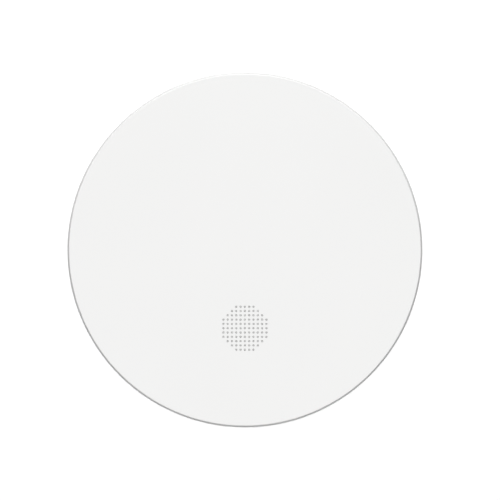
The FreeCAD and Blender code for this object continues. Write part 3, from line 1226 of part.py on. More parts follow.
def add_cover_legs(body):
    """Three snap hooks, the post that reaches the switch, three spring pins and the gauze frame."""
    hook = sketch_on(body, "hook_side", "XZ_Plane")
    inner = f"{HOOK_RADIUS} - hook_thickness"
    barb_top = f"({DECK_LOW} - hook_play)"
    barb_low = f"({barb_top} - hook_barb_height)"
    outline(hook, [
        (inner, COVER_LOW), (inner, f"{barb_low} - hook_tip"),
        (f"{HOOK_RADIUS} - hook_tip", f"{barb_low} - hook_tip"),
        (f"{HOOK_RADIUS} + hook_barb", f"{barb_top} - hook_tip"), (f"{HOOK_RADIUS} + hook_barb", barb_top),
        (HOOK_RADIUS, barb_top), (HOOK_RADIUS, COVER_LOW)])
    first_hook = pad(body, "hook", hook, "hook_width", symmetric=True)
    repeat_round(body, "hooks", [first_hook], "bayonet_count")

    post = sketch_on(body, "post_profile", "XZ_Plane", x="-switch_offset")
    post_low = f"{PLUNGER_TOP} + post_play"
    outline(post, [("0", post_low), ("post_tip_radius", post_low), ("post_top_radius", COVER_LOW),
                   ("0", COVER_LOW)])
    revolve(body, "switch_post", post)

    pin = sketch_on(body, "pin_outline", "XY_Plane", lift=COVER_LOW, turn="boss_turn")
    circle(pin, SPRING_CIRCLE, "0", "pin_radius")
    first_pin = pad(body, "spring_pin", pin, "pin_length", down=True)
    repeat_round(body, "spring_pins", [first_pin], "boss_count")

    frame = sketch_on(body, "gauze_frame_outline", "XY_Plane", lift=COVER_LOW)
    circle(frame, "0", "-field_offset", "gauze_radius + gauze_frame_gap")
    circle(frame, "0", "-field_offset", "gauze_radius + gauze_frame_gap + gauze_frame_wall")
    pad(body, "gauze_frame", frame, "gauze_frame_height", down=True)


def add_sound_holes(body):
    """A round field of small holes on a square grid."""
    holes = sketch_on(body, "hole_outlines", "XY_Plane", y="-field_offset", lift=FACE)
    for i, j in hole_places():
        circle(holes, f"{i} * hole_pitch" if i else "0", f"{j} * hole_pitch" if j else "0", "hole_radius")
    pocket(body, "sound_holes", holes, "cover_thickness")


def make_front_cover():
    body = new_body("front_cover")
    add_cover_shell(body)
    add_cover_legs(body)
    add_sound_holes(body)


def make_dust_gauze():
    """Fine cloth behind the holes, glued to the inside of the cover."""
    body = new_body("dust_gauze", y="-field_offset")
    blank = sketch_on(body, "gauze_outline", "XY_Plane", lift=COVER_LOW)
    circle(blank, "0", "0", "gauze_radius")
    pad(body, "gauze", blank, "gauze_thickness", down=True)


# Cover springs

def helix_point(angle, radius, rise_per_turn):
    """Point and direction of a helix about Z at an angle from its start."""
    point = FreeCAD.Vector(radius * math.cos(angle), radius * math.sin(angle),
                           rise_per_turn * angle / (2 * math.pi))
    way = FreeCAD.Vector(-radius * math.sin(angle), radius * math.cos(angle), rise_per_turn / (2 * math.pi))
    return point, way.normalize()


def arc_from(start, way, end):
    """The arc that leaves start along way and reaches end."""
    chord = end - start
    side = way - chord * (way.dot(chord) / chord.dot(chord))
    half_angle = way.getAngle(chord)
    middle = start + chord * 0.5 + side.normalize() * (chord.Length / 2 * math.tan(half_angle / 2))
    return Part.Arc(start, middle, end).toShape()


def biarc(start, way_out, end, way_in):
    """Two arcs that leave start along way_out, meet smoothly, and arrive at end along way_in."""
    gap = end - start
    a = 2 * (1 - way_out.dot(way_in))
    b = 2 * gap.dot(way_out + way_in)
    c = -gap.dot(gap)
    reach = (math.sqrt(b * b - 4 * a * c) - b) / (2 * a)
    meeting = (start + way_out * reach + end - way_in * reach) * 0.5
    second_way = (end - way_in * reach - meeting).normalize()
    return [arc_from(start, way_out, meeting), arc_from(meeting, second_way, end)]


def spring_wire():
    """One coil spring that stands on Z = 0, as a round wire along quarter-turn biarcs."""
    radius, wire = value("coil_mean_radius"), value("coil_wire_radius")
    turns = int(value("coil_turns"))
    length = value(f"{COVER_LOW} - {CUP_SEAT}")
    rise = (length - 2 * wire) / turns
    edges = []
    for quarter in range(4 * turns):
        here, way = helix_point(quarter * math.pi / 2, radius, rise)
        there, way_there = helix_point((quarter + 1) * math.pi / 2, radius, rise)
        edges += biarc(here, way, there, way_there)
    start, way = helix_point(0, radius, rise)
    ring = Part.Wire(Part.Circle(start, way, wire).toShape())
    spring = Part.Wire(edges).makePipeShell([ring], True, False)
    print(f"cover spring: gap between turns {rise - 2 * wire:.2f} mm")
    spring.translate(FreeCAD.Vector(0, 0, wire))
    return spring


def make_cover_springs():
    """Three return springs between the cups and the cover, each round its pin."""
    group = doc.addObject("Part::Feature", "cover_springs")
    group.Label = "cover_springs"
    spring = spring_wire()
    springs = []
    for index in range(int(value("boss_count"))):
        angle = value("boss_turn") + 360 * index / value("boss_count")
        copy = spring.copy()
        copy.translate(FreeCAD.Vector(value(SPRING_CIRCLE), 0, 0))
        copy.rotate(FreeCAD.Vector(), FreeCAD.Vector(0, 0, 1), angle)
        springs.append(copy)
    group.Shape = Part.makeCompound(springs)
    bind(group, "Placement.Base.z", CUP_SEAT)
    nodes.append(group)


def build():
    fill_sheet()
    make_mounting_plate()
    make_rear_housing()
    make_battery_hatch()
    make_battery()
    make_battery_contacts()
    make_circuit_board()
    make_board_screws()
    make_microcontroller()
    make_chip_resistors()
    make_capacitors()
    make_sounder_coil()
    make_chamber_base()
    make_optic("infrared_emitter", "-optic_turn", "emitter_nose")
    make_optic("photodiode", "-180 + optic_turn", "photodiode_nose")
    make_insect_screen()
    make_chamber_cap()
    make_sounder_contacts()
    make_sounder_ceramic()
    make_sounder_disc()
    make_sounder_horn()
    make_status_led()
    make_test_switch_body()
    make_test_switch_plunger()
    make_inlet_housing()
    make_housing_screws()
    make_light_guide()
    make_cover_springs()
    make_dust_gauze()
    make_front_cover()
    doc.recompute()


def check():
    """Stop with the names of whatever failed."""
    failed = [item.Label for item in doc.Objects if "Invalid" in item.State or "Error" in item.State]
    for node in nodes:
        if node.Shape.isNull() or not node.Shape.isValid() or not node.Shape.Solids:
            failed.append(node.Label)
    if failed:
        raise RuntimeError("failed: " + ", ".join(failed))


def export():
    os.makedirs("parts", exist_ok=True)
    for node in nodes:
        node.Shape.exportStep(os.path.join("parts", node.Label + ".step"))
        print(node.Label, len(node.Shape.Solids), "solids", round(node.Shape.Volume, 2), "mm3")


build()
check()
export()
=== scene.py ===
# %% [markdown]
# This scene dresses a ceiling smoke alarm. The real thing is a stack of mouldings: a flat white front disc
# that is also the test button, a ring of slats that lets smoke in, and a dished back shell that twists onto
# a plate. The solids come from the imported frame, so every surface made here takes its place from them.

# %% The frame
import json
import math

import bmesh
import bpy
import numpy as np
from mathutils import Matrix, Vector

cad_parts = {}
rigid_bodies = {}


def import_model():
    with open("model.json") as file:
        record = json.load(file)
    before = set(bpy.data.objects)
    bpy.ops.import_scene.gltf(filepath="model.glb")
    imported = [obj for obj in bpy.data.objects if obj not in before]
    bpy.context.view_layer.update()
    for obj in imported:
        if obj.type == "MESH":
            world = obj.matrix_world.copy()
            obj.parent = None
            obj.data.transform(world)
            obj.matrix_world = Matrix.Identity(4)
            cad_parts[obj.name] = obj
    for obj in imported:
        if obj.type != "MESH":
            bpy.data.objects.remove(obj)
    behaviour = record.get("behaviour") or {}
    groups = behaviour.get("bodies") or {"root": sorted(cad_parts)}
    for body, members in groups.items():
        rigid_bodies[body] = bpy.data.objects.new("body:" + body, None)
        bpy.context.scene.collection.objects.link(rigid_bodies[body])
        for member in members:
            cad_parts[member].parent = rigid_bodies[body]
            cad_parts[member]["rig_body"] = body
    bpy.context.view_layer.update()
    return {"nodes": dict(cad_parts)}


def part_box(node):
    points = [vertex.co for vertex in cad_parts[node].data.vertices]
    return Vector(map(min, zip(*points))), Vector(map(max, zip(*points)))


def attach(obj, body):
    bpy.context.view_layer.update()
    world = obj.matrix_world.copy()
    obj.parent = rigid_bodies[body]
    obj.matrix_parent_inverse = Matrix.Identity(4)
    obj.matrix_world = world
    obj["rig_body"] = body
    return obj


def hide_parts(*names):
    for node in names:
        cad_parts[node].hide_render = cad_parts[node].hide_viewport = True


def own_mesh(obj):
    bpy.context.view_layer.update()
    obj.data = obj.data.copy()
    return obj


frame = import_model()
body_of = {name: node["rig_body"] for name, node in frame["nodes"].items()}
print(len(body_of), "nodes on bodies", sorted(set(body_of.values())))

# %% [markdown]
# A moulding is mostly surfaces of revolution, tiles that repeat, and outlines that are pushed straight. Each
# is a grid of points: rows along one parameter, columns along the other. The grid is worked out with numpy
# as one array, and its quads come from index arithmetic, so no loop visits a point. A shell is the points
# and the lists of faces that go with them, and a piece is one object made from a few shells.

# %% Grids and pieces
MM = 0.001
FULL_TURN = 2 * math.pi
MERGE = 0.002 * MM
SHARP = math.radians(35)     # an edge that turns by more than this stays an edge


def quads(rows, columns, wrap_rows=False, wrap_columns=False):
    """Corner numbers of a grid whose points are numbered row by row.

    The quad at row i and column j joins (i, j), (i+1, j), (i+1, j+1) and (i, j+1); a wrapped side counts on
    from its last line to its first.
    """
    i = np.arange(rows if wrap_rows else rows - 1)[:, None]
    j = np.arange(columns if wrap_columns else columns - 1)[None, :]
    below, right = (i + 1) % rows, (j + 1) % columns
    corners = np.stack(np.broadcast_arrays(i * columns + j, below * columns + j,
                                           below * columns + right, i * columns + right), -1)
    return corners.reshape(-1, 4)


def clean(mesh, flat_faces=0.0):
    """Merge doubles, join faces that lie in one plane, and keep edges sharp where the surface turns."""
    work = bmesh.new()
    work.from_mesh(mesh)
    bmesh.ops.remove_doubles(work, verts=work.verts, dist=MERGE)
    if flat_faces:
        bmesh.ops.dissolve_limit(work, angle_limit=flat_faces, verts=work.verts, edges=work.edges)
    bmesh.ops.recalc_face_normals(work, faces=work.faces)
    work.to_mesh(mesh)
    work.free()
    mesh.shade_smooth()
    mesh.set_sharp_from_angle(angle=SHARP)


def place(name, mesh, material, *nodes):
    """Link a mesh as a piece that stands for CAD nodes, on their body and with their slot."""
    mesh.materials.clear()
    mesh.materials.append(material)
    piece = bpy.data.objects.new(name, mesh)
    bpy.context.scene.collection.objects.link(piece)
    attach(piece, body_of[nodes[0]])
    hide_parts(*nodes)
    print(f"{name}: {len(mesh.vertices)} points, {len(mesh.polygons)} faces")
    return piece


def add_piece(name, shells, material, *nodes):
    """One object from several shells, each of them points and lists of faces."""
    points = np.concatenate([shell[0].reshape(-1, 3) for shell in shells])
    starts = np.cumsum([0] + [shell[0].size // 3 for shell in shells[:-1]])
    faces = [face for (_, blocks), start in zip(shells, starts) for block in blocks
             for face in (block + start).tolist()]
    mesh = bpy.data.meshes.new(name)
    mesh.from_pydata(points, [], faces)
    clean(mesh)
    return place(name, mesh, material, *nodes)


# %% [markdown]
# No edge of a moulding is truly sharp. An outline is given by its corners and a radius for each, and each
# corner becomes a short arc. Two more points, just before and after the arc, keep the flats beside it flat
# when the surface is shaded smooth. Turned round an axis, an outline makes a ring or a cup; pushed straight
# across, it makes a hook or a rib.

# %% Outlines, turned and pushed
HOLD = 0.04 * MM
ARC_STEPS = 5


def rounded(corners, radii, steps=ARC_STEPS):
    """A closed outline with an arc at each corner and a holding point on either side of it.

    With d half the angle between a corner's two sides, the arc of radius r starts and ends r / tan(d) from
    the corner, about a centre r / sin(d) away on the bisector, and its points turn evenly.
    """
    corner, radius = np.array(corners, float), np.array(radii, float)
    back = np.roll(corner, 1, 0) - corner
    ahead = np.roll(corner, -1, 0) - corner
    back /= np.linalg.norm(back, axis=1, keepdims=True)
    ahead /= np.linalg.norm(ahead, axis=1, keepdims=True)
    half = np.arccos(np.clip((back * ahead).sum(1), -1, 1)) / 2
    inward = back + ahead
    inward /= np.linalg.norm(inward, axis=1, keepdims=True)
    centre = corner + inward * (radius / np.sin(half))[:, None]
    first = corner + back * (radius / np.tan(half))[:, None]
    last = corner + ahead * (radius / np.tan(half))[:, None]
    start = np.arctan2(*(first - centre).T[::-1])
    turn = (np.arctan2(*(last - centre).T[::-1]) - start + math.pi) % FULL_TURN - math.pi
    angle = start[:, None] + turn[:, None] * np.linspace(0, 1, steps)
    arc = centre[:, None] + np.stack([np.cos(angle), np.sin(angle)], -1) * radius[:, None, None]
    before, after = (first + back * HOLD)[:, None], (last + ahead * HOLD)[:, None]
    return np.concatenate([before, arc, after], 1).reshape(-1, 2)


def from_the_axis(corners, radii):
    """An open outline whose first and last corners lie on the axis, ready to be turned."""
    return rounded(corners, radii)[1:-1]


def around(steps):
    """Evenly spaced angles of a full turn."""
    return np.arange(steps) * FULL_TURN / steps


def turned(outline, steps, closed=False):
    """The outline (r, z) carried round the Z axis: x = r cos(a), y = r sin(a); closed joins its two ends."""
    radius, height = outline[:, :1], outline[:, 1:]
    angles = around(steps)
    points = np.stack(np.broadcast_arrays(radius * np.cos(angles), radius * np.sin(angles), height), -1)
    return points, [quads(len(outline), steps, closed, True)]


def pushed(outline, width):
    """The outline (x, z) pushed along Y from -width / 2 to width / 2, with a flat face at each end."""
    count = len(outline)
    y = np.full((count, 1), width / 2)
    points = np.stack([np.hstack([outline[:, :1], side * y, outline[:, 1:]]) for side in (-1, 1)])
    ends = np.arange(2 * count).reshape(2, count)
    return points, [quads(2, count, False, True), ends]


def moved(shell, x=0.0, y=0.0, z=0.0, turn=0.0):
    """The shell turned about the Z axis and then shifted by (x, y, z)."""
    cos, sin = math.cos(turn), math.sin(turn)
    spin = np.array([[cos, sin, 0], [-sin, cos, 0], [0, 0, 1]])
    return shell[0] @ spin + np.array([x, y, z]), shell[1]


def thrice(shell, first=0.0):
    """Three copies of the shell, a third of a turn apart."""
    return [moved(shell, turn=math.radians(first + 120 * step)) for step in range(3)]


# %% [markdown]
# Shader sums are easier to read as sums. A small class wraps the output of a node, and arithmetic on it adds
# Math nodes, so 1 - mask is both the formula and the node tree. Masks are 0 or 1: & keeps what both hold
# and | what either holds. Every other kind of node comes from one method.

# %% Shader arithmetic
class Socket:
    """The output of a node. Sums, products and comparisons of it are Math nodes in the same tree."""

    def __init__(self, link):
        self.link = link

    def node(self, kind, settings, inputs, output=0):
        """Any node: its settings are set first, then its sockets get their values or links."""
        tree = self.link.id_data
        made = tree.nodes.new(kind)
        for name, setting in settings.items():
            setattr(made, name, setting)
        for name, item in inputs.items():
            if isinstance(item, Socket):
                tree.links.new(item.link, made.inputs[name])
            else:
                made.inputs[name].default_value = item
        return Socket(made.outputs[output])

    def maths(self, operation, first, second=0.0):
        """A Math node that works on one or two values."""
        return self.node("ShaderNodeMath", {"operation": operation}, {0: first, 1: second})

    def __add__(self, other):
        return self.maths("ADD", self, other)

    def __sub__(self, other):
        return self.maths("SUBTRACT", self, other)

    def __rsub__(self, other):
        return self.maths("SUBTRACT", other, self)

    def __mul__(self, other):
        return self.maths("MULTIPLY", self, other)

    def __gt__(self, other):
        return self.maths("GREATER_THAN", self, other)

    def __lt__(self, other):
        return self.maths("LESS_THAN", self, other)

    def __or__(self, other):
        return self.maths("MAXIMUM", self, other)

    def __abs__(self):
        return self.maths("ABSOLUTE", self)

    __radd__ = __add__
    __rmul__ = __mul__
    __and__ = __mul__

    def sine(self):
        return self.maths("SINE", self)

    def fraction(self):
        return self.maths("FRACT", self)

    def across(self, other):
        """The distance from the origin of the point (self, other)."""
        return self.maths("SQRT", self * self + other * other)

    def axes(self):
        """The three numbers of a vector."""
        return [self.node("ShaderNodeSeparateXYZ", {}, {"Vector": self}, output=axis) for axis in range(3)]

    def noise(self, scale, detail=2.0, stretch=(1, 1, 1)):
        """Noise between 0 and 1 at this place, with scale features a metre, stretched along the axes."""
        spot = self.node("ShaderNodeMapping", {}, {"Vector": self, "Scale": stretch})
        return self.node("ShaderNodeTexNoise", {}, {"Vector": spot, "Scale": scale, "Detail": detail})

    def mix(self, first, second):
        """A colour between first, where this mask is 0, and second, where it is 1."""
        return self.node("ShaderNodeMix", {"data_type": "RGBA"}, {0: self, 6: first, 7: second}, output=2)

    def bump(self, strength, depth):
        """A normal that follows this height; depth is in metres."""
        return self.node("ShaderNodeBump", {}, {"Height": self, "Strength": strength, "Distance": depth})


def colour(red, green, blue):
    """A colour as the nodes take it."""
    return (red, green, blue, 1.0)


def tones(shade, spread):
    """A colour's darker and paler neighbours."""
    return [colour(*(part * factor for part in shade)) for factor in (1 - spread, 1 + spread)]


def finish(name, paint, **constants):
    """A material. Constants go straight on the shader; paint(place) returns the sockets that vary."""
    material = bpy.data.materials.new(name)
    material.use_nodes = True
    tree = material.node_tree
    shader = tree.nodes["Principled BSDF"]
    for socket, value in constants.items():
        shader.inputs[socket.replace("_", " ")].default_value = value
    spot = Socket(tree.nodes.new("ShaderNodeTexCoord").outputs["Object"])
    for socket, value in paint(spot).items():
        tree.links.new(value.link, shader.inputs[socket])
    return material


# %% [markdown]
# The white parts are moulded in a polycarbonate blend. The tool is eroded to a fine matt grain, so the gloss
# breaks up at a tenth of a millimetre, and the colour drifts very slightly with the flow of the plastic.
# One function makes all the plastics: the front disc is the whitest and fully matt, the smoke chamber and
# the horn are black so that no stray light gets about inside.

# %% Finishes of the mouldings
GRAIN = 7000.0       # grains of an eroded tool, a metre
FLOW = 25.0          # slow drift of a moulding's colour, a metre
SIDE_SHADE = 0.89     # how pale the painted shade leaves the disc's side against its face
FACE_SKIN = 0.1 * MM


def moulded(name, shade, rough, depth, specular=0.3, face=None):
    """Matt moulded plastic: fine grain in the surface, a faint drift in colour and gloss.

    Where a face is given, what lies below that height, the disc's side and the walls of its holes, has a
    slightly deeper tone: painted shade for the rim.
    """

    def paint(spot):
        deep, pale = tones(shade, 0.012)
        grain = spot.noise(GRAIN, detail=1.0)
        tone = spot.noise(FLOW).mix(deep, pale)
        if face is not None:
            # painted shade: below the face the tone is deeper, so the disc's edge reads as in shade
            shaded_side = colour(*(part * SIDE_SHADE for part in shade))
            tone = (spot.axes()[2] < face).mix(tone, shaded_side)
        return {
            "Base Color": tone,
            "Roughness": rough + (grain - 0.5) * 0.08,
            "Normal": grain.bump(0.35, depth),
        }

    return finish(name, paint, Specular_IOR_Level=specular)


cover_white = moulded("cover_white", (0.785, 0.785, 0.78), 0.6, 0.004 * MM, specular=0.0,
                      face=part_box("front_cover")[1].z - FACE_SKIN)
case_white = moulded("case_white", (0.77, 0.77, 0.765), 0.62, 0.010 * MM)
plate_white = moulded("plate_white", (0.74, 0.74, 0.73), 0.65, 0.010 * MM)
chamber_black = moulded("chamber_black", (0.014, 0.014, 0.015), 0.7, 0.012 * MM)
horn_black = moulded("horn_black", (0.02, 0.02, 0.022), 0.5, 0.008 * MM)
plunger_grey = moulded("plunger_grey", (0.09, 0.09, 0.095), 0.45, 0.004 * MM)
print("whites:", cover_white.name, case_white.name, plate_white.name)

# %% [markdown]
# The front disc carries a round field of sound holes on a square grid. A tile round one hole is a square
# outside and a circle inside, and both have the same number of points at the same angles, so the tile is a
# plain grid that goes over the rim of the hole, down its wall and out again underneath. Tiles share the
# points on their sides. A last grid leads from the edge of the field of tiles to the edge of the disc.

# %% The front disc
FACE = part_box("front_cover")[1].z
COVER_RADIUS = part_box("front_cover")[1].x
COVER_THICKNESS = 1.8 * MM
COVER_SKIRT = 3.2 * MM
COVER_WALL = 1.6 * MM
COVER_DRAFT = math.radians(13)
COVER_EDGE = 0.25 * MM
SKIRT_EDGE = 0.2 * MM
INSIDE_EDGE = 0.3 * MM
UNDERSIDE = FACE - COVER_THICKNESS
HOLE_PITCH = 1.4 * MM
HOLE_RADIUS = 0.35 * MM
HOLE_EDGE = 0.05 * MM
HOLE_HOLD = 0.02 * MM
LIP_STEPS = 3
FIELD_RADIUS = 7.6 * MM
FIELD_Y = -25.5 * MM
TILE_STEPS = 24
FACE_ROWS = 9

field_steps = int(FIELD_RADIUS / HOLE_PITCH)
tile_half = HOLE_PITCH / 2
tile_ray = np.stack([np.cos(around(TILE_STEPS)), np.sin(around(TILE_STEPS))], -1)
tile_square = tile_ray / np.abs(tile_ray).max(1, keepdims=True) * tile_half


def tiles(rings, cells):
    """The same tile at each (i, j) of the square grid.

    A ring is (radius, height): its points are the radius times the ray at each angle, or the tile's square
    side where the radius is None.
    """
    flat = np.array([tile_square if radius is None else tile_ray * radius for radius, _ in rings])
    height = np.array([np.full((TILE_STEPS, 1), height) for _, height in rings])
    centre = np.array([[i * HOLE_PITCH, FIELD_Y + j * HOLE_PITCH, 0.0] for i, j in cells])
    points = centre[:, None, None, :] + np.concatenate([flat, height], -1)
    faces = quads(len(rings), TILE_STEPS, False, True)
    first = np.arange(len(cells))[:, None, None] * len(rings) * TILE_STEPS
    return points, [(faces + first).reshape(-1, 4)]


def field_side():
    """Points along the side of the whole square of tiles, from the middle of its +X side."""
    across_tile = tile_half * np.tan(np.radians([-45, -30, -15, 0, 15, 30]))
    along = (np.arange(-field_steps, field_steps + 1)[:, None] * HOLE_PITCH + across_tile).ravel()
    reach = np.full_like(along, (field_steps + 0.5) * HOLE_PITCH)
    sides = [(reach, along), (-along, reach), (-reach, -along), (along, -reach)]
    ring = np.concatenate([np.stack(side, -1) for side in sides])
    return np.roll(ring, -(len(along) // 2), 0) + np.array([0.0, FIELD_Y])


def cover_edge_outline():
    """The disc's edge as (r, z): over the small round edge, down the sloping side and back inside."""
    skirt_low = FACE - COVER_SKIRT
    top = COVER_RADIUS - COVER_SKIRT * math.tan(COVER_DRAFT)
    inner = COVER_RADIUS - COVER_WALL
    inside = COVER_RADIUS / 2
    corners = [(inside, FACE), (top, FACE), (COVER_RADIUS, skirt_low), (inner, skirt_low),
               (inner, UNDERSIDE), (inside, UNDERSIDE)]
    arcs = rounded(corners, [0, COVER_EDGE, SKIRT_EDGE, SKIRT_EDGE, INSIDE_EDGE, 0])
    return arcs[ARC_STEPS + 2:-ARC_STEPS - 2]


def cover_strip():
    """From the square of tiles out to the edge, round the edge, and back underneath to the square.

    A point at share s of the way is P + (Q - P) s, with P on the square and Q on the circle where the edge
    begins; the two have equal numbers of points in the same order.
    """
    square = field_side()
    count = len(square)
    ray = np.stack([np.cos(around(count)), np.sin(around(count))], -1)
    outline = cover_edge_outline()
    share = np.linspace(0, 1, FACE_ROWS)[:-1, None, None]

    def leaf(radius, height):
        flat = square + (ray * radius - square) * share
        return np.concatenate([flat, np.full((*flat.shape[:2], 1), height)], -1)

    edge = turned(outline, count)[0]
    rows = np.concatenate([leaf(outline[0, 0], FACE), edge, leaf(outline[-1, 0], UNDERSIDE)[::-1]])
    return rows, [quads(len(rows), count, False, True)]


steps = range(-field_steps, field_steps + 1)
holes = [(i, j) for i in steps for j in steps if math.hypot(i, j) * HOLE_PITCH <= FIELD_RADIUS]
blanks = [(i, j) for i in steps for j in steps if (i, j) not in holes]
lip = [(HOLE_RADIUS + HOLE_EDGE * (1 - math.sin(a)), HOLE_EDGE * (1 - math.cos(a)))
       for a in np.linspace(0, math.pi / 2, LIP_STEPS)]
hole_rings = ([(None, FACE), (HOLE_RADIUS + HOLE_EDGE + HOLE_HOLD, FACE)]
              + [(radius, FACE - depth) for radius, depth in lip]
              + [(radius, UNDERSIDE + depth) for radius, depth in lip[::-1]] + [(None, UNDERSIDE)])
cover_shells = [tiles(hole_rings, holes), tiles([(None, FACE), (0.0, FACE)], blanks),
                tiles([(0.0, UNDERSIDE), (None, UNDERSIDE)], blanks), cover_strip()]
add_piece("front_disc", cover_shells, cover_white, "front_cover")
print(len(holes), "sound holes")

# %% [markdown]
# Behind the disc stand the parts of the same moulding that nobody sees until it is off: three snap hooks that
# keep it on the deck, a tapered post that reaches down to the test switch, three pins that centre the
# springs, and a low ring round the gauze. Each grows out of the underside, so its root lies a little inside
# the disc, with a small fillet where the tool lets the plastic flow round the corner.

# %% Hooks, post, pins and gauze ring
DECK_LOW = 27.0 * MM
HOOK_RADIUS = 47.5 * MM
HOOK_THICKNESS = 1.2 * MM
HOOK_WIDTH = 5.0 * MM
HOOK_BARB = 1.0 * MM
HOOK_BARB_HEIGHT = 1.3 * MM
HOOK_TIP = 0.4 * MM
HOOK_PLAY = 0.1 * MM
HOOK_EDGE = 0.12 * MM
HOOK_FOOT_EDGE = 0.2 * MM
POST_X = -32.0 * MM
POST_TOP_RADIUS = 2.2 * MM
POST_TIP_RADIUS = 1.5 * MM
POST_TIP = 17.2 * MM
POST_EDGE = 0.3 * MM
PIN_RADIUS = 1.3 * MM
PIN_LENGTH = 1.6 * MM
PIN_EDGE = 0.4 * MM
SPRING_CIRCLE = 41.5 * MM
GAUZE_RADIUS = 10.0 * MM
GAUZE_RING_GAP = 0.2 * MM
GAUZE_RING_WALL = 1.0 * MM
GAUZE_RING_HEIGHT = 0.6 * MM
GAUZE_RING_EDGE = 0.2 * MM
FILLET = 0.3 * MM
STUD_STEPS = 32
RING_STEPS = 96
SPREAD = FILLET + 3 * HOLD
SEAM = UNDERSIDE + 0.03 * MM
ROOT = UNDERSIDE + 0.5 * MM


def hook_outline():
    """Side of a hook as (r, z): down the leg, round the tip, up the slope of the barb and back up."""
    inner = HOOK_RADIUS - HOOK_THICKNESS
    barb_top = DECK_LOW - HOOK_PLAY
    tip = barb_top - HOOK_BARB_HEIGHT - HOOK_TIP
    corners = [(inner, SEAM), (inner, tip), (HOOK_RADIUS - HOOK_TIP, tip),
               (HOOK_RADIUS + HOOK_BARB, barb_top - HOOK_TIP), (HOOK_RADIUS + HOOK_BARB, barb_top),
               (HOOK_RADIUS, barb_top), (HOOK_RADIUS, SEAM), (HOOK_RADIUS + SPREAD, SEAM),
               (HOOK_RADIUS + SPREAD, ROOT), (inner - SPREAD, ROOT), (inner - SPREAD, SEAM)]
    return rounded(corners, [FILLET, HOOK_FOOT_EDGE] + [HOOK_EDGE] * 4 + [FILLET, 0, 0, 0, 0])


def stud(radius_low, radius_high, low, edge):
    """A round stud from its rounded tip at height low up to a fillet at the underside, about the Z axis."""
    corners = [(0, low), (radius_low, low), (radius_high, SEAM), (radius_high + SPREAD, SEAM),
               (radius_high + SPREAD, ROOT), (0, ROOT)]
    return turned(from_the_axis(corners, [0, edge, FILLET, 0, 0, 0]), STUD_STEPS)


add_piece("snap_hooks", thrice(pushed(hook_outline(), HOOK_WIDTH)), cover_white, "front_cover")
add_piece("switch_post", [moved(stud(POST_TIP_RADIUS, POST_TOP_RADIUS, POST_TIP, POST_EDGE), x=POST_X)],
          cover_white, "front_cover")
pin = moved(stud(PIN_RADIUS, PIN_RADIUS, UNDERSIDE - PIN_LENGTH, PIN_EDGE), x=SPRING_CIRCLE)
add_piece("spring_pins", thrice(pin, first=60), cover_white, "front_cover")
ring_inner = GAUZE_RADIUS + GAUZE_RING_GAP
ring_outer = ring_inner + GAUZE_RING_WALL
ring_low = UNDERSIDE - GAUZE_RING_HEIGHT
gauze_ring = rounded([(ring_inner, ring_low), (ring_outer, ring_low), (ring_outer, ROOT), (ring_inner, ROOT)],
                     [GAUZE_RING_EDGE, GAUZE_RING_EDGE, 0, 0])
add_piece("gauze_ring", [moved(turned(gauze_ring, RING_STEPS, closed=True), y=FIELD_Y)],
          cover_white, "front_cover")

# %% [markdown]
# The gauze keeps dust and flies out of the sounder. It is a fine woven cloth, cut round and glued to the
# back of the disc under the holes. The weave is far too fine to model, so it is a bump: a warp thread lies
# over a weft thread in every other square, and the pores between the threads are darker.

# %% The dust gauze
THREADS = 2500.0     # threads a metre
PORE = 0.45          # height of the weave below which a pore shows
WEAVE_DEPTH = 0.05 * MM
GAUZE_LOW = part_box("dust_gauze")[0].z
GLUE = 0.04 * MM
GAUZE_EDGE = 0.08 * MM


def woven(spot):
    """Plain weave: |sin| of x makes the warp, |sin| of y the weft, and the sign of the product tells which
    of the two lies on top."""
    x, y, _ = spot.axes()
    wave_x, wave_y = (x * (math.pi * THREADS)).sine(), (y * (math.pi * THREADS)).sine()
    warp_up = (wave_x * wave_y) > 0.0
    height = warp_up * abs(wave_x) + (1 - warp_up) * abs(wave_y)
    pore = (abs(wave_x) | abs(wave_y)) < PORE
    thread = spot.noise(600.0).mix(colour(0.52, 0.52, 0.515), colour(0.59, 0.59, 0.585))
    return {
        "Base Color": pore.mix(thread, colour(0.18, 0.18, 0.18)),
        "Normal": height.bump(0.8, WEAVE_DEPTH),
    }


gauze_cloth = finish("woven_gauze", woven, Roughness=0.9, Sheen_Weight=0.2, Specular_IOR_Level=0.2)
gauze_top = UNDERSIDE - GLUE
gauze_side = from_the_axis([(0, GAUZE_LOW), (GAUZE_RADIUS, GAUZE_LOW), (GAUZE_RADIUS, gauze_top),
                            (0, gauze_top)], [0, GAUZE_EDGE, GAUZE_EDGE, 0])
gauze = add_piece("gauze", [moved(turned(gauze_side, RING_STEPS), y=FIELD_Y)], gauze_cloth, "dust_gauze")

# %% [markdown]
# The two shells, the plate and the battery hatch already have every wall, rib, slat and boss as solids. What
# a moulding has and a solid lacks is the tiny radius on each edge, which catches the light. So a copy of each
# node's mesh is merged, its coplanar triangles are joined, and a bevel rounds what is left sharp. A bevel
# folds over where it is wider than the smallest step it meets, so it is kept below a tenth of a millimetre.

# %% Shells, plate and hatch
COPLANAR = math.radians(0.5)
SOFT_EDGE = 0.09 * MM
THIN_EDGE = 0.04 * MM      # the wells of the screws leave the back shell steps no larger than this


def soften(piece, width):
    """Round every sharp edge with a bevel of this width."""
    bevel = piece.modifiers.new("edges", "BEVEL")
    bevel.width = width
    bevel.segments = 2
    bevel.limit_method = "ANGLE"
    bevel.angle_limit = SHARP
    bevel.use_clamp_overlap = False
    bevel.harden_normals = True


def softened(name, node, width, material):
    """A copy of a CAD node's mesh with merged points, whole faces and rounded edges."""
    mesh = frame["nodes"][node].data.copy()
    mesh.name = name
    flat_shading = mesh.attributes.get("custom_normal")
    if flat_shading:
        mesh.attributes.remove(flat_shading)
    clean(mesh, COPLANAR)
    piece = place(name, mesh, material, node)
    soften(piece, width)
    return piece


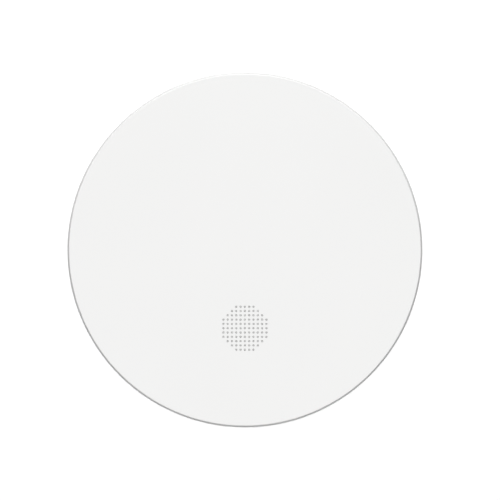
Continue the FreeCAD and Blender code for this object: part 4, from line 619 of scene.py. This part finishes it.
softened("back_shell", "rear_housing", THIN_EDGE, case_white)
softened("inlet_ring", "inlet_housing", SOFT_EDGE, case_white)
softened("ceiling_plate", "mounting_plate", SOFT_EDGE, plate_white)
softened("battery_door", "battery_hatch", SOFT_EDGE, case_white)

# %% [markdown]
# Three small springs push the disc back after a test. A spring is a circle carried along a helix. Its end
# turns are closed up, so the climb is slow at both ends and faster between: the share of the height at share
# t of the way is t - k sin(2 pi t) / (2 pi).

# %% Cover springs
COIL_RADIUS = 1.9 * MM
WIRE_RADIUS = 0.2 * MM
COIL_TURNS = 4
COIL_STEPS = 40
WIRE_SIDES = 10
END_CLOSING = 0.45
MARK_DEPTH = 0.004 * MM      # rolling or drawing marks of a metal
SPRING_LOW, SPRING_HIGH = (corner.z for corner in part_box("cover_springs"))


def coil():
    """A round wire along a helix about the Z axis.

    The middle of the wire is (R cos a, R sin a, z), and each ring of the wire lies in the plane of the
    outward direction and of the direction square to both that and the wire.
    """
    share = np.linspace(0, 1, COIL_TURNS * COIL_STEPS + 1)
    angle = FULL_TURN * COIL_TURNS * share
    climb = SPRING_HIGH - SPRING_LOW - 2 * WIRE_RADIUS
    height = SPRING_LOW + WIRE_RADIUS + climb * (share - END_CLOSING * np.sin(FULL_TURN * share) / FULL_TURN)
    middle = np.stack([COIL_RADIUS * np.cos(angle), COIL_RADIUS * np.sin(angle), height], -1)
    outward = np.stack([np.cos(angle), np.sin(angle), np.zeros_like(angle)], -1)
    along = np.gradient(middle, axis=0)
    side = np.cross(along, outward)
    side /= np.linalg.norm(side, axis=1, keepdims=True)
    turn = around(WIRE_SIDES)[None, :, None]
    ring = outward[:, None] * np.cos(turn) + side[:, None] * np.sin(turn)
    body = middle[:, None] + ring * WIRE_RADIUS
    points = np.concatenate([np.repeat(middle[:1, None], WIRE_SIDES, 1), body,
                             np.repeat(middle[-1:, None], WIRE_SIDES, 1)])
    return points, [quads(len(points), WIRE_SIDES, False, True)]


def bright_metal(name, shade, rough, scale=900.0, stretch=(1, 1, 1), wear=0.06):
    """Bare or plated metal: the roughness and tone vary with rolling or drawing marks."""

    def paint(spot):
        deep, pale = tones(shade, wear)
        marks = spot.noise(scale, detail=4.0, stretch=stretch)
        return {
            "Base Color": marks.mix(deep, pale),
            "Roughness": rough + (marks - 0.5) * 0.25,
            "Normal": marks.bump(0.15, MARK_DEPTH),
        }

    return finish(name, paint, Metallic=1.0)


spring_wire = bright_metal("spring_wire", (0.56, 0.57, 0.59), 0.3, scale=4000.0)
springs = add_piece("cover_coils", thrice(moved(coil(), x=SPRING_CIRCLE), first=60), spring_wire,
                    "cover_springs")
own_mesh(springs)

# %% [markdown]
# The rest of the pieces keep their solids, and each gets the finish of its real material. Metals come first:
# nickel strip at the battery, tin bronze at the sounder, zinc-plated screws, an etched steel screen, and the
# brass disc with its silvered ceramic, whose electrode stops short of the edge.

# %% Metals
SOUNDER_Y = -32.2 * MM
SILVERED = 7.0 * MM


def wear_material(node, material):
    """Give a CAD node a material."""
    slots = frame["nodes"][node].data.materials
    slots.clear()
    slots.append(material)
    print(f"{node}: {material.name}")


def silvered_ceramic(spot):
    """Grey-white ceramic with a silver electrode inside its rim."""
    x, y, _ = spot.axes()
    silver = x.across(y - SOUNDER_Y) < SILVERED
    cloud = spot.noise(1800.0, detail=3.0)
    return {
        "Base Color": silver.mix(colour(0.62, 0.60, 0.53),
                                 cloud.mix(colour(0.66, 0.65, 0.62), colour(0.78, 0.77, 0.75))),
        "Metallic": silver * 0.9,
        "Roughness": 0.35 + cloud * 0.25,
    }


nickel = bright_metal("nickel", (0.66, 0.62, 0.56), 0.28, stretch=(0.1, 1, 0.1))
bronze = bright_metal("bronze", (0.70, 0.43, 0.26), 0.3, stretch=(1, 1, 0.1))
zinc = bright_metal("zinc", (0.60, 0.62, 0.65), 0.35, scale=2500.0)
etched_steel = bright_metal("etched_steel", (0.42, 0.43, 0.44), 0.4, scale=3000.0)
brass = bright_metal("brass", (0.78, 0.57, 0.26), 0.32, scale=1200.0, wear=0.1)
for node in ("battery_contact_positive", "battery_contact_negative"):
    wear_material(node, nickel)
for node in ("housing_screws", "board_screws"):
    wear_material(node, zinc)
wear_material("sounder_contacts", bronze)
wear_material("insect_screen", etched_steel)
wear_material("sounder_disc", brass)
wear_material("sounder_ceramic", finish("silvered_ceramic", silvered_ceramic))

# %% [markdown]
# The board shows between the slats. Its green resist lies over copper tracks that run square to each other,
# with bare tinned rings under the screw heads and tan glass cloth on the cut edge. The tracks are drawn by
# a rule: the board is divided into squares, noise picks a direction for each, and fine lines run that way.

# %% Circuit board
BOARD_LOW, BOARD_TOP = (corner.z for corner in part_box("circuit_board"))
TRACK_PITCH = 1.27 * MM
TRACK_WIDTH = 0.28       # share of the pitch
POST_CIRCLE = 40.0 * MM
POST_TURNS = (math.radians(15), math.radians(-55))
PAD_RADIUS = 3.0 * MM
EDGE_SKIN = 0.06 * MM
TRACK_DEPTH = 0.03 * MM


def board_layers(spot):
    """Resist over tracks on both faces, tinned screw pads, and glass cloth at the cut edge."""
    x, y, z = spot.axes()
    runs_along_x = spot.noise(140.0, detail=0.0) > 0.5
    line_x = abs((x * (1 / TRACK_PITCH)).fraction() - 0.5) < TRACK_WIDTH / 2
    line_y = abs((y * (1 / TRACK_PITCH)).fraction() - 0.5) < TRACK_WIDTH / 2
    routed = spot.noise(260.0, detail=0.0) > 0.46
    track = (runs_along_x * line_y + (1 - runs_along_x) * line_x) & routed
    faces = (z > BOARD_TOP - EDGE_SKIN) | (z < BOARD_LOW + EDGE_SKIN)
    near_post = [(abs(x) - POST_CIRCLE * math.cos(turn)).across(y - POST_CIRCLE * math.sin(turn)) < PAD_RADIUS
                 for turn in POST_TURNS]
    pads = (near_post[0] | near_post[1]) & faces
    resist = track.mix(colour(0.008, 0.070, 0.026), colour(0.020, 0.135, 0.048))
    cloth = spot.noise(5000.0).mix(colour(0.34, 0.29, 0.15), colour(0.46, 0.40, 0.23))
    return {
        "Base Color": pads.mix(faces.mix(cloth, resist), colour(0.66, 0.66, 0.64)),
        "Metallic": pads,
        "Roughness": 0.38 + (1 - faces) * 0.4,
        "Coat Weight": faces & (1 - pads),
        "Normal": (track & faces).bump(0.5, TRACK_DEPTH),
    }


wear_material("circuit_board", finish("board_resist", board_layers, Coat_Roughness=0.15))

# %% [markdown]
# The small parts on the board are told apart by masks on place: height above the board, distance from a
# part's own axis, or how far along it a point lies. A capacitor is a can on a black base with a black mark
# over its negative side, a coil is copper between two ferrite flanges, a chip resistor has tinned ends.

# %% Cans and coil
CAN_BASE = 0.9 * MM
CAN_MARK = 1.5 * MM
CAN_MARK_DEPTH = 0.2 * MM
CAN_MIDDLES = ((-31.0 * MM, -14.0 * MM), (-23.0 * MM, -22.0 * MM))
COIL_WAIST = 3.6 * MM
COIL_FLANGE = 0.98 * MM
WINDING_PITCH = 0.35 * MM
WINDING_DEPTH = 0.08 * MM


def part_middle(node):
    """The middle of a node's box, seen from the front."""
    low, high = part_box(node)
    return (low.x + high.x) / 2, (low.y + high.y) / 2


can_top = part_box("capacitors")[1].z
coil_x, coil_y = part_middle("sounder_coil")
coil_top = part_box("sounder_coil")[1].z


def capacitor_can(spot):
    """Aluminium can: black base, brushed wall, black mark over a part of the top."""
    x, _, z = spot.axes()
    (first_x, _), (second_x, _) = CAN_MIDDLES
    is_second = x > (first_x + second_x) / 2
    own_x = x - first_x - is_second * (second_x - first_x)
    base = z < BOARD_TOP + CAN_BASE
    dark = base | ((z > can_top - CAN_MARK_DEPTH) & (own_x > CAN_MARK))
    brushed = spot.noise(1500.0, stretch=(1, 1, 0.05))
    return {
        "Base Color": dark.mix(brushed.mix(colour(0.66, 0.67, 0.68), colour(0.78, 0.79, 0.80)),
                               colour(0.012, 0.012, 0.012)),
        "Metallic": 1 - dark,
        "Roughness": 0.3 + dark * 0.25 + brushed * 0.1,
    }


def wound_coil(spot):
    """Copper wire wound between two ferrite flanges."""
    x, y, z = spot.axes()
    between = (z > BOARD_TOP + COIL_FLANGE) & (z < coil_top - COIL_FLANGE)
    wire = ((x - coil_x).across(y - coil_y) < COIL_WAIST) & between
    # painted shade: each turn of copper darkens towards its sides, where it meets the next; the same profile
    # drives the bump
    winding_height_and_shade = abs((z * (1 / WINDING_PITCH)).fraction() - 0.5)
    ferrite = spot.noise(2500.0).mix(colour(0.035, 0.034, 0.033), colour(0.06, 0.058, 0.056))
    return {
        "Base Color": wire.mix(ferrite, winding_height_and_shade.mix(colour(0.62, 0.25, 0.09), colour(0.25, 0.08, 0.03))),
        "Metallic": wire * 0.9,
        "Roughness": 0.6 - wire * 0.3,
        "Normal": (winding_height_and_shade & wire).bump(0.8, WINDING_DEPTH),
    }


wear_material("capacitors", finish("aluminium_can", capacitor_can))
wear_material("sounder_coil", finish("wound_coil", wound_coil))

# %% [markdown]
# The chip's legs are a row of tinned pads along its foot, drawn by the fraction of the place along a side.
# The status light is a clear face in a white cup, and the test switch a black case under a steel plate.

# %% Chip, resistors, status light and switch
PAD_PITCH = 0.8 * MM
PAD_HALF = 0.28          # share of the pitch
PAD_HEIGHT = 0.25 * MM
PAD_SKIN = 0.02 * MM
DOT_PLACE = (-2.4 * MM, 2.2 * MM)
DOT_RADIUS = 0.3 * MM
RESISTOR_PITCH = 2.6 * MM
RESISTOR_FIRST = 4.5 * MM
RESISTOR_END = 0.62 * MM
GLAZE_HEIGHT = 0.55 * MM
LIGHT_FACE_HEIGHT = 0.82 * MM
SWITCH_HALF = 3.02 * MM
SWITCH_PLATE_HEIGHT = 3.2 * MM
chip_x, chip_y = part_middle("microcontroller")
chip_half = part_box("microcontroller")[1].x - chip_x


def chip_case(spot):
    """Black moulded case with tinned pads along its foot and a shallow dot at pin one."""
    x, y, z = spot.axes()
    own_x, own_y = x - chip_x, y - chip_y
    pad_x = abs((own_x * (1 / PAD_PITCH)).fraction() - 0.5) < PAD_HALF
    pad_y = abs((own_y * (1 / PAD_PITCH)).fraction() - 0.5) < PAD_HALF
    side_x, side_y = abs(own_x) > chip_half - PAD_SKIN, abs(own_y) > chip_half - PAD_SKIN
    foot = (z < BOARD_TOP + PAD_HEIGHT) & ((side_x & pad_y) | (side_y & pad_x))
    dot = (own_x - DOT_PLACE[0]).across(own_y - DOT_PLACE[1]) < DOT_RADIUS
    case = spot.noise(9000.0).mix(colour(0.018, 0.018, 0.019), colour(0.028, 0.028, 0.029))
    return {
        "Base Color": foot.mix(dot.mix(case, colour(0.05, 0.05, 0.05)), colour(0.7, 0.7, 0.68)),
        "Metallic": foot,
        "Roughness": 0.55 - dot * 0.3,
    }


def chip_resistor(spot):
    """White ceramic with a black glazed top and tinned ends."""
    _, y, z = spot.axes()
    along = abs(((y - RESISTOR_FIRST) * (1 / RESISTOR_PITCH) + 0.5).fraction() - 0.5) * RESISTOR_PITCH
    end = along > RESISTOR_END
    glaze = z > BOARD_TOP + GLAZE_HEIGHT
    blotch = spot.noise(5000.0)
    return {
        "Base Color": end.mix(glaze.mix(colour(0.78, 0.77, 0.74), colour(0.015, 0.015, 0.016)),
                              blotch.mix(colour(0.6, 0.6, 0.59), colour(0.75, 0.75, 0.74))),
        "Metallic": end,
        "Roughness": 0.25 + blotch * 0.2,
    }


def lamp_case(spot):
    """White reflector cup of the status light, with its clear face on top."""
    _, _, z = spot.axes()
    lens = z > BOARD_TOP + LIGHT_FACE_HEIGHT
    cup = spot.noise(4000.0).mix(colour(0.74, 0.74, 0.72), colour(0.8, 0.8, 0.78))
    return {"Base Color": lens.mix(cup, colour(0.55, 0.75, 0.42)), "Roughness": 0.45 - lens * 0.35}


def switch_case(spot):
    """Black case, tinned feet and a steel plate over the top."""
    x, _, z = spot.axes()
    metal = (abs(x - POST_X) > SWITCH_HALF) | (z > BOARD_TOP + SWITCH_PLATE_HEIGHT)
    rolled = spot.noise(2000.0, stretch=(0.1, 1, 1))
    return {
        "Base Color": metal.mix(colour(0.015, 0.015, 0.016),
                                rolled.mix(colour(0.58, 0.58, 0.58), colour(0.68, 0.68, 0.68))),
        "Metallic": metal,
        "Roughness": 0.5 - metal * 0.2 + rolled * 0.08,
    }


wear_material("microcontroller", finish("chip_case", chip_case))
wear_material("chip_resistors", finish("chip_resistor", chip_resistor))
wear_material("status_led", finish("lamp_case", lamp_case))
wear_material("test_switch_body", finish("switch_case", switch_case))
wear_material("test_switch_plunger", plunger_grey)

# %% [markdown]
# In the chamber, an infrared emitter and a photodiode look past each other. Both are epoxy packages on
# tinned legs: the emitter is water-clear, the photodiode nearly black, because its resin only lets infrared
# through. The light guide is a clear acrylic rod. Clear plastics are transmission on the shader itself.

# %% Chamber, optics and light guide
LEG_TOP = 17.6 * MM


def resin(name, shade, **constants):
    """An epoxy package whose legs, below the package, are tinned."""

    def paint(spot):
        _, _, z = spot.axes()
        leg = z < LEG_TOP
        cloud = spot.noise(1500.0)
        deep, pale = tones(shade, 0.04)
        return {
            "Base Color": leg.mix(cloud.mix(deep, pale), colour(0.68, 0.68, 0.66)),
            "Metallic": leg,
            "Roughness": 0.06 + cloud * 0.06 + leg * 0.25,
        }

    return finish(name, paint, **constants)


def clear_rod(spot):
    """Polished acrylic with the faint haze of its turned sides."""
    haze = spot.noise(3000.0, stretch=(1, 1, 0.1))
    return {"Base Color": haze.mix(colour(0.93, 0.95, 0.95), colour(0.98, 0.99, 0.99)),
            "Roughness": 0.02 + haze * 0.05}


wear_material("chamber_base", chamber_black)
wear_material("chamber_cap", chamber_black)
wear_material("sounder_horn", horn_black)
wear_material("infrared_emitter", resin("clear_resin", (0.78, 0.84, 0.90), Transmission_Weight=0.9, IOR=1.53))
wear_material("photodiode", resin("dark_resin", (0.012, 0.006, 0.010), IOR=1.55))
wear_material("light_guide", finish("clear_rod", clear_rod, Transmission_Weight=1.0, IOR=1.49))

# %% [markdown]
# The battery lies crosswise behind its door. Its can is wrapped in a shrunk plastic sleeve, pale grey with a
# blue band towards the button and nothing printed on it. The sleeve turns over the round edges a little way,
# and bare steel shows inside that.

# %% Battery
cell_low, cell_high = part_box("battery")
CELL_Y = (cell_low.y + cell_high.y) / 2
CELL_Z = (cell_low.z + cell_high.z) / 2
SLEEVE_EDGE = 6.9 * MM
BAND = (8.0 * MM, 12.5 * MM)
BUTTON = 1.02 * MM
WRINKLE_DEPTH = 0.04 * MM


def shrunk_sleeve(spot):
    """Sleeve beyond a radius about the cell's axis, steel within it; two bands of colour along the cell."""
    x, y, z = spot.axes()
    steel = ((y - CELL_Y).across(z - CELL_Z) < SLEEVE_EDGE) | (x > cell_high.x - BUTTON)
    band = (x > BAND[0]) & (x < BAND[1])
    wrinkle = spot.noise(900.0, detail=3.0, stretch=(0.3, 1, 1))
    sleeve = band.mix(wrinkle.mix(colour(0.56, 0.57, 0.58), colour(0.62, 0.63, 0.64)),
                      colour(0.03, 0.11, 0.28))
    return {
        "Base Color": steel.mix(sleeve, colour(0.60, 0.60, 0.60)),
        "Metallic": steel,
        "Roughness": 0.26 + wrinkle * 0.12,
        "Coat Weight": 0.4 - steel * 0.4,
        "Normal": wrinkle.bump(0.25, WRINKLE_DEPTH),
    }


wear_material("battery", finish("shrunk_sleeve", shrunk_sleeve, Coat_Roughness=0.1))

# %% [markdown]
# The photograph looks straight at the disc from far away, so the camera stands over the face with a long
# lens. The disc sits a little left of the middle of the picture, and its width against the picture's width
# gives the distance.

# %% Camera
PICTURE = 500                  # pixels across
DISC_PIXELS = 355.2            # width of the disc's outline in the photograph
DISC_OFF = (-5.11, 0.1)        # the disc's middle from the picture's middle, right and up, in pixels
LENS = 240.0
SENSOR = 36.0

# the disc's widest ring lies deeper than its face by the height of the skirt
distance = COVER_RADIUS / (DISC_PIXELS / PICTURE * SENSOR / LENS / 2) - COVER_SKIRT
pixel = distance * SENSOR / LENS / PICTURE
camera = bpy.data.objects.new("camera", bpy.data.cameras.new("camera"))
camera.data.lens = LENS
camera.data.sensor_width = SENSOR
camera.data.clip_start = 0.01
camera.data.clip_end = 50.0
camera.location = (-DISC_OFF[0] * pixel, -DISC_OFF[1] * pixel, FACE + distance)
bpy.context.scene.collection.objects.link(camera)
bpy.context.scene.camera = camera
print(f"camera {distance:.3f} m over the face, {pixel * 1000:.4f} mm a pixel")

# %% [markdown]
# The picture is a studio shot on white: a soft lamp near the camera makes the face even, a wide soft lamp
# low beyond the top edge lights that side of the rim, and the lower rim stays in shade. The alarm lies on a
# pane of glass that is white from above and clear from below, with a third lamp under it, so that its back
# can be looked at too. The backdrop is as pale as the pane but gives little light, and the pane throws a
# little less light back up than it shows, so that the low side of the disc's edge stays in shade.

# %% Lamps and table
def lamp(name, kind, power, place_at, target, **settings):
    """A lamp at a place, turned towards a target."""
    data = bpy.data.lights.new(name, kind)
    data.energy = power
    for setting, value in settings.items():
        setattr(data, setting, value)
    item = bpy.data.objects.new(name, data)
    item.location = place_at
    item.rotation_euler = (Vector(target) - Vector(place_at)).to_track_quat("-Z", "Y").to_euler()
    bpy.context.scene.collection.objects.link(item)


MIDDLE = (0.0, 0.0, FACE)
lamp("front_lamp", "SUN", 3.22, (0, 0, 2.0), (0, 0, 0), angle=math.radians(12))
lamp("top_lamp", "AREA", 74.0, (-0.15, 2.95, 0.45), MIDDLE, shape="RECTANGLE", size=3.6, size_y=0.5)
lamp("under_lamp", "SUN", 1.3, (0, 0, -2.0), (0, 0, 0), angle=math.radians(22))

BACKDROP_SEEN = 1.0
BACKDROP_LIGHT = 0.02
world = bpy.data.worlds.new("studio")
world.use_nodes = True
backdrop = world.node_tree.nodes["Background"]
path = world.node_tree.nodes.new("ShaderNodeLightPath").outputs
seen = Socket(path["Is Camera Ray"]) | Socket(path["Is Glossy Ray"])
glow = seen * (BACKDROP_SEEN - BACKDROP_LIGHT) + BACKDROP_LIGHT
world.node_tree.links.new(glow.link, backdrop.inputs["Strength"])
backdrop.inputs["Color"].default_value = colour(1.0, 1.0, 1.0)
bpy.context.scene.world = world
bpy.context.scene.view_settings.view_transform = "Standard"

TABLE_REACH = 6.0
TABLE_LOSS = 0.18     # share of the returned light that is let through
TABLE_TOP = -0.05 * MM


def pale_table(spot):
    """An even white with a very faint cloud in it."""
    return {"Base Color": spot.noise(3.0).mix(colour(0.84, 0.84, 0.84), colour(0.86, 0.86, 0.86))}


def clear_from_below(material):
    """Let the rays of the under lamp, and whoever looks from below, through the table.

    A share of the light that the table would throw back up is let through too.
    """
    tree = material.node_tree
    facing = Socket(tree.nodes.new("ShaderNodeNewGeometry").outputs["Backfacing"])
    ray = tree.nodes.new("ShaderNodeLightPath").outputs
    to_lamp = Socket(ray["Is Shadow Ray"])
    lost = (1 - Socket(ray["Is Camera Ray"])) * TABLE_LOSS
    clear = Socket(tree.nodes.new("ShaderNodeBsdfTransparent").outputs[0])
    white = Socket(tree.nodes["Principled BSDF"].outputs[0])
    both = white.node("ShaderNodeMixShader", {}, {0: facing | to_lamp | lost, 1: white, 2: clear})
    tree.links.new(both.link, tree.nodes["Material Output"].inputs["Surface"])


table_white = finish("table_white", pale_table, Roughness=0.9, Specular_IOR_Level=0.1,
                     Emission_Color=colour(1.0, 1.0, 1.0), Emission_Strength=0.10)
clear_from_below(table_white)
corner = np.array([(-1, -1), (1, -1), (1, 1), (-1, 1)]) * TABLE_REACH
table_mesh = bpy.data.meshes.new("table")
table_mesh.from_pydata(np.hstack([corner, np.full((4, 1), TABLE_TOP)]), [], [(0, 1, 2, 3)])
table_mesh.materials.append(table_white)
table = bpy.data.objects.new("table", table_mesh)
bpy.context.scene.collection.objects.link(table)
